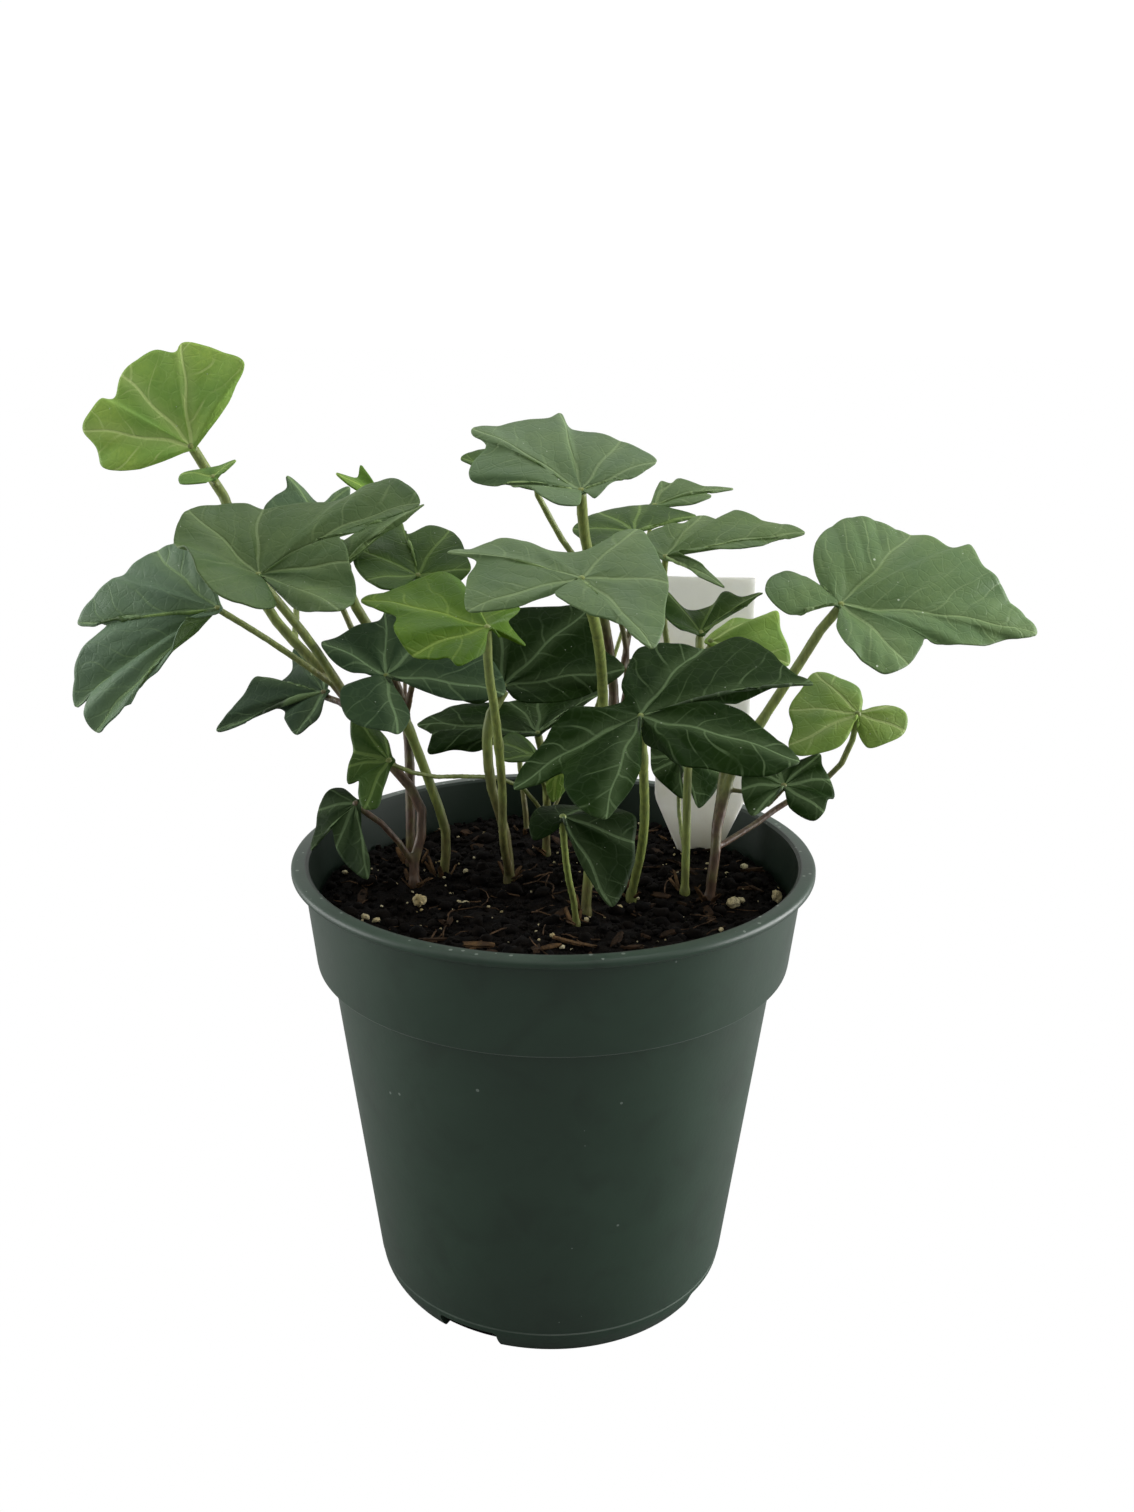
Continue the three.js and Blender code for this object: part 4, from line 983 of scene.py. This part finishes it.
def perlite_material(settings):
    """Expanded volcanic glass: chalky, off-white, stained by the peat in its pores."""
    made, tree, shader = new_material("perlite")
    place = put(tree, "ShaderNodeTexCoord").outputs["Object"]
    stain = put(tree, "ShaderNodeTexNoise", {"Vector": place, "Scale": 130, "Detail": 3})
    share = put(tree, "ShaderNodeMapRange", {
        "Value": stain.outputs[0], "From Min": 0.35, "From Max": 0.7,
    })
    body = put(tree, "ShaderNodeMix", {
        0: share.outputs[0],
        6: rgba(settings.perlite),
        7: rgba(tinted(settings.perlite, 0.62, 0.52, 0.33)),
    }, data_type="RGBA")
    # Pores about 0.4 mm wide.
    pores = put(tree, "ShaderNodeTexVoronoi", {"Vector": place, "Scale": 2400})
    pit = put(tree, "ShaderNodeMapRange", {
        "Value": pores.outputs["Distance"], "From Min": 0.1, "From Max": 0.5,
    })
    dirty = put(tree, "ShaderNodeMix", {
        0: pit.outputs[0], 6: rgba(scaled(settings.perlite, 0.35)), 7: body.outputs[2],
    }, data_type="RGBA")
    bump = put(tree, "ShaderNodeBump", {
        "Height": pit.outputs[0], "Strength": 0.6, "Distance": 0.2 * MM,
    })
    tree.links.new(dirty.outputs[2], shader.inputs["Base Color"])
    tree.links.new(bump.outputs[0], shader.inputs["Normal"])
    shader.inputs["Roughness"].default_value = 0.9
    return made


# ---- Tag ----
TAG_TURN = math.radians(-2)


def build_tag(settings):
    """A blank card with a tapered foot, bowed a little."""
    low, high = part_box("plant_tag")
    centre = (low + high) / 2
    width, height = high.x - low.x - 0.2 * MM, high.z - low.z
    bm = bmesh.new()
    bmesh.ops.create_grid(bm, x_segments=14, y_segments=40, size=0.5)
    for vert in bm.verts:
        across, up = vert.co.x * width, (vert.co.y + 0.5) * height
        narrow = max(0.0, 1 - up / settings.taper)
        across *= 1 - narrow * (1 - settings.foot / width)
        bow = 1.1 * MM * (up / height) ** 2 - 0.6 * MM * (1 - (2 * across / width) ** 2)
        vert.co = Vector((
            centre.x + across * math.cos(TAG_TURN),
            centre.y + across * math.sin(TAG_TURN) + bow,
            low.z + up - 1.2 * MM * narrow,
        ))
    bmesh.ops.recalc_face_normals(bm, faces=bm.faces)
    tag = finish_piece("blank_tag", bm, [tag_material(settings)], ["plant_tag"])
    wall = tag.modifiers.new("thickness", "SOLIDIFY")
    wall.thickness, wall.offset = settings.thickness, 0
    edge = tag.modifiers.new("edge", "BEVEL")
    edge.width, edge.segments = 0.12 * MM, 2
    edge.limit_method, edge.angle_limit = "ANGLE", math.radians(60)
    bake_modifiers(tag)


# ---- Blades ----
SKIN_LAYERS = ("ring", "east", "north")  # a point's share of the way out and its heading


class Blade:
    """A CAD blade read back as hub, spokes and rings, so that it can be made smooth and fine."""

    def __init__(self, node, stem_points):
        bm = merged_copy(node)
        for name in SKIN_LAYERS:
            bm.verts.layers.float.new(name)
        bm.verts.index_update()
        half = len(bm.verts) / 2 - 1
        found = []
        for vert in bm.verts:
            rings = self.rings_round(vert, half)
            if rings:
                found.append((vert, rings))
        if len(found) != 2:
            raise ValueError(f"{node}: {len(found)} petiole joints found on the blade, not 2")
        found.sort(key=lambda pair: -stem_points.find(pair[0].co)[2])
        (top, rings), (bottom, _) = found
        self.joint = bottom.co.copy()
        count, depth = len(rings[0]), len(rings)
        seen = {top}.union(*rings)
        for outer in range(1, depth):
            rings[outer] = self.align(rings[outer - 1], rings[outer], top.co)
        self.hub = np.array(top.co)
        self.grid = np.array([[self.hub] * count] + [[v.co for v in ring] for ring in rings])
        self.up = Vector((0, 0, 0))
        for face in top.link_faces:
            self.up += face.normal * face.calc_area()
        self.up.normalize()
        reach = np.linalg.norm(self.grid[-1] - self.hub, axis=1)
        self.shares = np.array([
            np.median(np.linalg.norm(ring - self.hub, axis=1) / reach) for ring in self.grid
        ])
        self.reach = reach
        self.keep_skin(bm, seen, rings)
        self.bm = bm

    @classmethod
    def rings_round(cls, hub, half):
        """The rings of points round a hub that take up one skin of the blade, or None."""
        count = len(hub.link_edges)
        if count < 5 or half % count or half / count not in (2, 3):
            return None
        seen, layer, rings = {hub}, {hub}, []
        for _ in range(int(half / count)):
            layer = {e.other_vert(v) for v in layer for e in v.link_edges} - seen
            seen |= layer
            ring = cls.walk(layer)
            if len(layer) != count or len(ring) != count:
                return None
            rings.append(ring)
        return rings

    @staticmethod
    def walk(layer):
        """The ring's points in order round the hub, or an empty list if they make no ring."""
        start = min(layer, key=lambda v: v.index)
        order, before = [start], None
        while len(order) <= len(layer):
            here = order[-1]
            beside = [e.other_vert(here) for e in here.link_edges if e.other_vert(here) in layer]
            if len(beside) != 2:
                return []
            ahead = [v for v in beside if v is not before]
            step = ahead[0] if before else min(ahead, key=lambda v: v.index)
            if step is start:
                return order
            before = here
            order.append(step)
        return []

    @staticmethod
    def align(inner, outer, hub):
        """Turns the outer ring's list so that each point is on the same spoke as the inner one."""
        ins = np.array([(v.co - hub).normalized() for v in inner])
        best = None
        for flip in (1, -1):
            ring = outer[::flip]
            outs = np.array([(v.co - hub).normalized() for v in ring])
            for shift in range(len(ring)):
                fit = float((ins * np.roll(outs, -shift, axis=0)).sum())
                if best is None or fit > best[0]:
                    best = (fit, ring[shift:] + ring[:shift])
        return best[1]

    def keep_skin(self, bm, seen, rings):
        """Keeps the upper skin, and stores each point's ring share and spoke as layers."""
        share, east, north = (bm.verts.layers.float[name] for name in SKIN_LAYERS)
        for level, ring in enumerate(rings, 1):
            for spoke, vert in enumerate(ring):
                turn = math.tau * spoke / len(ring)
                vert[share] = self.shares[level]
                vert[east] = math.cos(turn) * self.shares[level]
                vert[north] = math.sin(turn) * self.shares[level]
        bmesh.ops.delete(bm, geom=[v for v in bm.verts if v not in seen], context="VERTS")

    def refine(self, cuts):
        """Splits the skin finely and returns each point's ring share and spoke position."""
        bm = self.bm
        bmesh.ops.subdivide_edges(bm, edges=list(bm.edges), cuts=cuts, use_grid_fill=True)
        share, east, north = (bm.verts.layers.float[name] for name in SKIN_LAYERS)
        raw = np.array([(v[share], v[east], v[north]) for v in bm.verts])
        count = self.grid.shape[1]
        spoke = np.mod(np.arctan2(raw[:, 2], raw[:, 1]) / math.tau * count, count)
        return np.clip(raw[:, 0], 0, 1), spoke

    def surface(self, share, spoke):
        """Smooth places for ring shares and spoke positions."""
        depth, count, _ = self.grid.shape
        rim = self.grid[-1]
        step = np.linalg.norm(np.roll(rim, -1, axis=0) - rim, axis=1) ** 0.5
        back = np.roll(step, 1)
        here = np.floor(spoke).astype(int) % count
        part = (spoke - np.floor(spoke))[:, None]
        after = (here + 1) % count
        rows = []
        for ring in self.grid:
            ahead = (np.roll(ring, -1, axis=0) - ring) / step[:, None]
            behind = (ring - np.roll(ring, 1, axis=0)) / back[:, None]
            slope = (ahead * back[:, None] + behind * step[:, None]) / (step + back)[:, None]
            leave, arrive = slope[here] * step[here][:, None], slope[after] * step[here][:, None]
            rows.append(self.hermite(ring[here], ring[after], leave, arrive, part))
        rows = np.array(rows)
        knots = self.shares
        slopes = []
        for level in range(depth):
            low, high = max(level - 1, 0), min(level + 1, depth - 1)
            slopes.append((rows[high] - rows[low]) / (knots[high] - knots[low]))
        places = np.empty((len(share), 3))
        for level in range(depth - 1):
            width = knots[level + 1] - knots[level]
            inside = share >= knots[level]
            if level < depth - 2:
                inside &= share < knots[level + 1]
            part = ((share[inside] - knots[level]) / width)[:, None]
            places[inside] = self.hermite(
                rows[level][inside], rows[level + 1][inside],
                slopes[level][inside] * width, slopes[level + 1][inside] * width, part,
            )
        return places

    @staticmethod
    def hermite(start, end, leave, arrive, part):
        """A cubic between two places with its slopes at both ends."""
        square, cube = part ** 2, part ** 3
        return ((2 * cube - 3 * square + 1) * start + (cube - 2 * square + part) * leave
                + (3 * square - 2 * cube) * end + (cube - square) * arrive)

    def vein_map(self, share, spoke, dice):
        """Places on the flattened blade, and for each point its vein co-ordinates, all in mm.

        They are how far it is along and across from the nearest main vein, its share of the way
        to the edge of that vein's part of the blade, and its distance from the hub.
        """
        count = self.grid.shape[1]
        rim = self.grid[-1] - self.hub
        unit = rim / np.linalg.norm(rim, axis=1)[:, None]
        gap = np.arccos(np.clip((unit * np.roll(unit, -1, axis=0)).sum(axis=1), -1, 1))
        turn = np.concatenate([[0], np.cumsum(gap)])
        here = np.floor(spoke).astype(int) % count
        part = spoke - np.floor(spoke)
        angle = turn[here] + part * gap[here]
        reach = self.reach[here] * (1 - part) + self.reach[(here + 1) % count] * part
        radius = share * reach / MM
        whole = turn[-1]
        tips = self.tips(turn, whole)
        best_gap = np.full(len(share), 1e9)
        along, across, edge = (np.zeros(len(share)) for _ in range(3))
        for tip in tips:
            off = (angle - turn[tip] + whole / 2) % whole - whole / 2
            left, right = self.notches(tip, tips, turn, whole)
            scaled_off = np.where(off > 0, off / right, -off / left)
            use = scaled_off < best_gap
            best_gap[use] = scaled_off[use]
            bend = dice.uniform(-0.1, 0.1)
            line = radius[use] * np.sin(np.clip(off[use], -math.pi / 2, math.pi / 2))
            forward = radius[use] * np.cos(off[use])
            size = self.reach[tip] / MM
            sway = bend * forward * (1 - forward / size)
            sway += 0.3 * np.sin(forward * 0.5 + dice.uniform(0, 6))
            along[use] = forward
            across[use] = line + sway * np.clip(forward / 4, 0, 1)
            edge[use] = np.clip(scaled_off[use], 0, 1)
        layer = np.full(len(share), dice.uniform(0, 50))
        flat = np.stack([radius * np.cos(angle), radius * np.sin(angle), layer], 1)
        return flat, np.stack([along, across, edge], 1), radius

    def tips(self, turn, whole):
        """Spokes with a main vein: where the outline stands out, and between those far apart."""
        count = len(self.reach)
        longest = self.reach.max()
        found = []
        for i in range(count):
            window = [self.reach[(i + k) % count] for k in (-2, -1, 1, 2)]
            if self.reach[i] >= max(window) and self.reach[i] > LEAST_TIP_REACH * longest:
                found.append(i)
        found = found or [int(self.reach.argmax())]
        more = []
        for tip, after in zip(found, found[1:] + found[:1]):
            span = (turn[after] - turn[tip]) % whole or whole
            pieces = int(span / WIDEST_VEIN_GAP)
            for piece in range(1, pieces + 1):
                spot = (turn[tip] + span * piece / (pieces + 1)) % whole
                spoke = int(np.abs(turn[:count] - spot).argmin())
                if self.reach[spoke] > LEAST_EXTRA_REACH * longest:
                    more.append(spoke)
        return sorted(set(found + more))

    def notches(self, tip, tips, turn, whole):
        """Angles from a tip to the notches on its two sides."""
        count = len(self.reach)
        answers = []
        for way in (-1, 1):
            others = [(way * (other - tip)) % count for other in tips if other != tip]
            span = min(others) if others else count
            steps = [tip + way * k for k in range(1, span)] or [tip + way]
            notch = min(steps, key=lambda i: self.reach[i % count])
            angle = (way * (turn[notch % count] - turn[tip])) % whole
            answers.append(max(angle, 0.12))
        return answers


# Lightness of the blades that differ from others of their age, partly their own tone and partly painted
# light and shade for how each lies to the light, and their share of painted sheen, a pale grey-green that
# stands in for reflected light.
BLADE_TONES_AND_PAINTED_LIGHT = {
    "leaf_young_left": (1.05, 0),
    "leaf_large_left": (0.84, 0),
    "leaf_large_right": (1.22, 0.06),
    "leaf_drooping_left": (1.3, 0.3),
    "leaf_low_left": (1, 0.12),
    "leaf_dark_left": (1.3, 0.1),
    "leaf_rim_left": (0.6, 0.01),
    "leaf_lime_low": (0.7, 0),
    "leaf_bright_right": (0.74, 0),
    "leaf_dark_right": (0.85, 0),
    "leaf_low_front": (0.5, 0),
    "leaf_shoot": (1.3, 0.15),
    "leaf_bud_left": (1.2, 0.05),
    "leaf_lime_front": (0.85, 0),
    "leaf_front": (0.95, 0.05),
    "leaf_top": (1.02, 0.1),
    "leaf_back_left": (1.2, 0.2),
    "leaf_mid_left": (1, 0),
    "leaf_low_right": (0.9, 0),
    "leaf_dark_centre": (0.8, 0),
    "leaf_low_centre": (0.8, 0),
}


FULL_REACH = 30  # millimetres from hub to tip on a grown blade
VALLEY_WIDTH = 3  # millimetres from a main vein over which its valley flattens out
RIPPLE_HEIGHT = 0.4 * MM  # at the rim of a grown blade
WAVES_PER_SPOKE = 0.27  # of the rim's ripple


def build_blade(node, stem_points, settings, looks, index):
    """A fine blade with a smooth outline, vein valleys and quilting."""
    dice = random.Random(500 + index)
    blade = Blade(node, stem_points)
    longest = blade.reach.max() / MM
    cuts = 9 if longest > 26 else 7 if longest > 16 else 5
    share, spoke = blade.refine(cuts)
    places = blade.surface(share, spoke)
    flat, vein, radius = blade.vein_map(share, spoke, dice)
    for vert, place in zip(blade.bm.verts, places):
        vert.co = place
    blade.bm.normal_update()
    if sum(f.normal.dot(blade.up) * f.calc_area() for f in blade.bm.faces) < 0:
        bmesh.ops.reverse_faces(blade.bm, faces=blade.bm.faces)
        blade.bm.normal_update()
    along, across, edge = vein.T
    size = longest / FULL_REACH
    away = np.abs(across)
    valley = -settings.crease * size * np.exp(-away / VALLEY_WIDTH) * np.clip(along / 6, 0, 1)
    valley *= (1 - 0.7 * share) * (1 - edge ** 2)
    beat = along - SIDE_VEIN_LEAN * away + np.where(across > 0, SIDE_VEIN_SPACING / 2, 0)
    swell = settings.quilt * size * np.abs(np.sin(math.pi * beat / SIDE_VEIN_SPACING))
    swell *= (1 - edge) * np.clip(radius / 5, 0, 1) * np.clip(away / 2.5, 0, 1)
    phase = dice.uniform(0, 9)
    spokes = blade.grid.shape[1]
    waves = round(spokes * WAVES_PER_SPOKE)
    ripple = RIPPLE_HEIGHT * size * share ** 3 * np.sin(spoke * math.tau * waves / spokes + phase)
    lift = valley + swell + ripple
    for vert, amount in zip(blade.bm.verts, lift):
        vert.co += vert.normal * amount
    slot = LEAF_SLOTS[node]
    piece = finish_piece(node.replace("leaf", "blade"), blade.bm, looks[slot], [node])
    for name in SKIN_LAYERS:
        piece.data.attributes.remove(piece.data.attributes[name])
    write_attribute(piece.data, "flat", "FLOAT_VECTOR", flat)
    write_attribute(piece.data, "vein", "FLOAT_VECTOR", vein)
    tone_and_painted_light, painted_sheen = BLADE_TONES_AND_PAINTED_LIGHT.get(node, (1, 0))
    write_attribute(piece.data, "tone_and_painted_light", "FLOAT", np.full(len(flat), tone_and_painted_light))
    write_attribute(piece.data, "painted_sheen", "FLOAT", np.full(len(flat), painted_sheen))
    body = piece.modifiers.new("thickness", "SOLIDIFY")
    body.thickness, body.offset = settings.thickness, -1
    body.material_offset, body.material_offset_rim = 1, 0
    bake_modifiers(piece)
    return blade


# Height above the soil in millimetres up to which each stem is brown, and how brown it is there.
WOODY = {
    "stem_left": (46, 1.0),
    "stem_left_green": (14, 0.7),
    "stem_left_back": (55, 0.9),
    "stem_centre": (26, 0.65),
    "stem_front": (10, 0.6),
    "stem_middle": (60, 0.9),
    "stem_front_green": (4, 0.4),
    "stem_right_green": (4, 0.4),
    "stem_right": (26, 1.0),
    "stem_back": (16, 0.7),
    "stem_rear": (12, 0.8),
    "stem_rear_right": (12, 0.8),
    "stem_low_front": (5, 0.5),
}


JOINT_GAP = 3 * MM  # a blade nearer than this is joined to the stem
JOINT_RADIUS = 0.9 * MM
BARK_FADE = 16  # millimetres over which brown turns to green


def build_stem(node, joints, settings, look):
    """A stem with its petioles: rounded, slightly knotty, and joined to its blades and the soil."""
    bm = merged_copy(node)
    tree = kdtree.KDTree(len(bm.verts))
    for vert in bm.verts:
        tree.insert(vert.co, vert.index)
    bm.verts.index_update()
    tree.balance()
    base = [v.co for v in bm.verts if v.co.z < STEM_FOOT_TOP]
    foot = sum(base, Vector()) / len(base)
    girth = max((point - foot).length for point in base)
    for joint, up in joints:
        _, _, gap = tree.find(joint)
        if gap < JOINT_GAP:
            turn = up.to_track_quat("Z", "Y").to_matrix().to_4x4()
            shape = Matrix.Translation(joint) @ turn @ Matrix.Diagonal((1, 1, 1.15, 1))
            bmesh.ops.create_icosphere(bm, subdivisions=3, radius=JOINT_RADIUS, matrix=shape)
    shape = Matrix.Translation(foot) @ Matrix.Diagonal((1, 1, 2.2, 1))
    bmesh.ops.create_icosphere(bm, subdivisions=3, radius=girth * 1.22, matrix=shape)
    stem = finish_piece(node.replace("stem", "shoot"), bm, [look], [node])
    block = stem.modifiers.new("remesh", "REMESH")
    block.mode, block.voxel_size, block.use_smooth_shade = "VOXEL", settings.voxel, True
    soft = stem.modifiers.new("soften", "SMOOTH")
    soft.factor, soft.iterations = 0.5, 5
    bake_modifiers(stem)
    mesh = stem.data
    points = coordinates(mesh)
    normals = np.empty(len(mesh.vertices) * 3)
    mesh.vertices.foreach_get("normal", normals)
    normals = normals.reshape(-1, 3)
    grain = np.array([noise.noise(Vector(p) * 300) * 0.04 for p in points])
    rings = np.array([max(0.0, noise.noise(Vector((p[2] * 120, 5, 1))) - 0.32) * 0.5 for p in points])
    knots = grain + rings
    set_coordinates(mesh, points + normals * knots[:, None] * MM)
    top, most = WOODY[node]
    height = (points[:, 2] - SOIL_TOP) / MM
    woody = most * np.clip((top + BARK_FADE / 2 - height) / BARK_FADE, 0, 1)
    write_attribute(mesh, "woody", "FLOAT", woody)
    for face in mesh.polygons:
        face.use_smooth = True


def leaf_looks(settings):
    """Upper and lower skin materials for each age of blade; the dark and light ones also carry painted
    shade and painted light.
    """
    # Colour, vein colour, strength of the veins, roughness, share of dust, and gloss.
    ages = {
        "leaf_dark": (settings.dark, linear("#7b9468"), 0.7, 0.52, 0.02, 0.05),
        "leaf_mid": (settings.mid, linear("#7f9a55"), 0.5, 0.5, 0.03, 0.16),
        "leaf_light": (settings.light, linear("#93a972"), 0.42, 0.5, 0.08, 0.25),
        "leaf_young": (settings.young, linear("#bdd184"), 0.75, 0.52, 0.02, 0.22),
        "leaf_lime": (settings.lime, linear("#98b250"), 0.5, 0.52, 0.02, 0.2),
    }
    looks = {}
    for slot, (base, vein, *finish) in ages.items():
        lower = tinted(base, 1.35, 1.3, 1.25)
        looks[slot] = [
            blade_material(f"{slot}_upper_skin", base, vein, *finish),
            underside_material(f"{slot}_lower_skin", lower, tinted(vein, 0.9, 0.95, 0.8)),
        ]
    return looks


# ---- Stage ----
CAMERA_PLACE = (0.00267, -0.3091, 0.2186)
CAMERA_PITCH = 0.30  # radians below level
CAMERA_ROLL = 0.01
FLOOR_RADIUS = 6

# Place, point aimed at, diameter and power of each round panel.
PANELS = {
    "top_panel": ((0.1, 0.25, 0.95), (0, 0, 0.1), 0.7, 1.7),
    "left_panel": ((-0.85, 0.1, 0.2), (0, 0, 0.08), 0.8, 6.5),
    "right_panel": ((0.85, 0.1, 0.2), (0, 0, 0.08), 0.8, 12.0),
}


def build_stage(settings):
    """A white floor and backdrop, soft studio light and the camera."""
    made, tree, shader = new_material("studio_floor")
    shader.inputs["Base Color"].default_value = rgba(settings.floor)
    # The floor is seen as plain white, but throws little light back up on to the pot.
    white = put(tree, "ShaderNodeEmission", {"Color": (1, 1, 1, 1), "Strength": 1.0})
    seen = put(tree, "ShaderNodeLightPath").outputs["Is Camera Ray"]
    both = put(tree, "ShaderNodeMixShader", {0: seen, 1: shader.outputs[0], 2: white.outputs[0]})
    tree.links.new(both.outputs[0], tree.nodes["Material Output"].inputs["Surface"])
    bm = bmesh.new()
    bmesh.ops.create_circle(bm, cap_ends=True, segments=96, radius=FLOOR_RADIUS)
    mesh = bpy.data.meshes.new("studio_floor")
    bm.to_mesh(mesh)
    bm.free()
    mesh.materials.append(made)
    floor = bpy.data.objects.new("studio_floor", mesh)
    bpy.context.scene.collection.objects.link(floor)

    # The room is bright above and behind the plant and dim in front, and its backdrop is white.
    world = bpy.data.worlds.new("studio_world")
    world.use_nodes = True
    bpy.context.scene.world = world
    room = world.node_tree
    room.nodes.clear()
    way = put(room, "ShaderNodeTexCoord").outputs["Generated"]
    facing = put(room, "ShaderNodeVectorMath", {
        0: way, 1: (0, 0.3, 0.95),
    }, operation="DOT_PRODUCT")
    glow = put(room, "ShaderNodeMapRange", {
        "Value": facing.outputs["Value"], "From Min": -0.4, "From Max": 0.95,
        "To Min": 0.12, "To Max": 1.0,
    })
    light = put(room, "ShaderNodeBackground", {
        "Color": (1, 1, 0.98, 1), "Strength": glow.outputs[0],
    })
    white = put(room, "ShaderNodeBackground", {"Color": (1, 1, 1, 1), "Strength": 1.02})
    seen = put(room, "ShaderNodeLightPath").outputs["Is Camera Ray"]
    both = put(room, "ShaderNodeMixShader", {0: seen, 1: light.outputs[0], 2: white.outputs[0]})
    put(room, "ShaderNodeOutputWorld", {"Surface": both.outputs[0]})

    camera = bpy.data.cameras.new("camera")
    camera.lens = settings.lens
    camera.sensor_width = 36
    camera.clip_start, camera.clip_end = 0.01, 50
    holder = bpy.data.objects.new("camera", camera)
    bpy.context.scene.collection.objects.link(holder)
    turn = Matrix.Rotation(math.pi / 2 - CAMERA_PITCH, 4, "X") @ Matrix.Rotation(CAMERA_ROLL, 4, "Z")
    holder.matrix_world = Matrix.Translation(CAMERA_PLACE) @ turn
    bpy.context.scene.camera = holder

    for name, (place, aim, size, power) in PANELS.items():
        lamp = bpy.data.lights.new(name, "AREA")
        lamp.shape, lamp.size, lamp.energy = "DISK", size, power
        panel = bpy.data.objects.new(name, lamp)
        bpy.context.scene.collection.objects.link(panel)
        facing = (Vector(place) - Vector(aim)).to_track_quat("Z", "Y")
        panel.matrix_world = Matrix.Translation(place) @ facing.to_matrix().to_4x4()
    view = bpy.context.scene.view_settings
    view.view_transform, view.look = "Standard", "None"


# ---- Operators ----
class IVY_OT_pot(bpy.types.Operator):
    """Builds the nursery pot"""

    bl_idname = "ivy.pot"
    bl_label = "Nursery pot"

    def execute(self, context):
        build_pot(context.scene.ivy_pot)
        return {"FINISHED"}


class IVY_OT_soil(bpy.types.Operator):
    """Builds the potting mix and what lies on it"""

    bl_idname = "ivy.soil"
    bl_label = "Soil and perlite"

    def execute(self, context):
        scene = context.scene
        build_soil(scene.ivy_soil, scene.ivy_pot)
        build_crumbs(scene.ivy_soil, scene.ivy_pot)
        return {"FINISHED"}


class IVY_OT_tag(bpy.types.Operator):
    """Builds the blank plant tag"""

    bl_idname = "ivy.tag"
    bl_label = "Plant tag"

    def execute(self, context):
        build_tag(context.scene.ivy_tag)
        return {"FINISHED"}


class IVY_OT_plant(bpy.types.Operator):
    """Builds the blades, and the stems that carry them"""

    bl_idname = "ivy.plant"
    bl_label = "Stems and leaves"

    def execute(self, context):
        scene = context.scene
        places = [v.co for node in STEM_NODES for v in frame["nodes"][node].data.vertices]
        points = kdtree.KDTree(len(places))
        for index, place in enumerate(places):
            points.insert(place, index)
        points.balance()
        looks = leaf_looks(scene.ivy_leaves)
        joints = []
        for index, node in enumerate(LEAF_NODES):
            blade = build_blade(node, points, scene.ivy_leaves, looks, index)
            joints.append((blade.joint, blade.up))
        look = stem_material(scene.ivy_stems)
        for node in STEM_NODES:
            build_stem(node, joints, scene.ivy_stems, look)
        return {"FINISHED"}


class IVY_OT_stage(bpy.types.Operator):
    """Builds the floor, the light and the camera"""

    bl_idname = "ivy.stage"
    bl_label = "Studio"

    def execute(self, context):
        build_stage(context.scene.ivy_stage)
        return {"FINISHED"}


OPERATORS = (IVY_OT_pot, IVY_OT_soil, IVY_OT_tag, IVY_OT_plant, IVY_OT_stage)


class IVY_PT_panel(bpy.types.Panel):
    """Lists the pieces of the potted ivy with their settings"""

    bl_idname = "IVY_PT_panel"
    bl_label = "Potted Ivy"
    bl_space_type = "VIEW_3D"
    bl_region_type = "UI"
    bl_category = "Potted Ivy"

    def draw(self, context):
        for operator in OPERATORS:
            self.layout.operator(operator.bl_idname)
        for name in SETTINGS:
            box = self.layout.box()
            settings = getattr(context.scene, name)
            for prop in settings.bl_rna.properties:
                if prop.identifier not in {"rna_type", "name"}:
                    box.prop(settings, prop.identifier)


def register():
    for name, group in SETTINGS.items():
        bpy.utils.register_class(group)
        setattr(bpy.types.Scene, name, bpy.props.PointerProperty(type=group))
    for made in (*OPERATORS, IVY_PT_panel):
        bpy.utils.register_class(made)


def unregister():
    for made in (IVY_PT_panel, *reversed(OPERATORS)):
        bpy.utils.unregister_class(made)
    for name, group in SETTINGS.items():
        delattr(bpy.types.Scene, name)
        bpy.utils.unregister_class(group)


def main():
    register()
    bpy.ops.ivy.stage()
    bpy.ops.ivy.pot()
    bpy.ops.ivy.soil()
    bpy.ops.ivy.tag()
    bpy.ops.ivy.plant()
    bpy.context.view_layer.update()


if __name__ == "__main__":
    main()
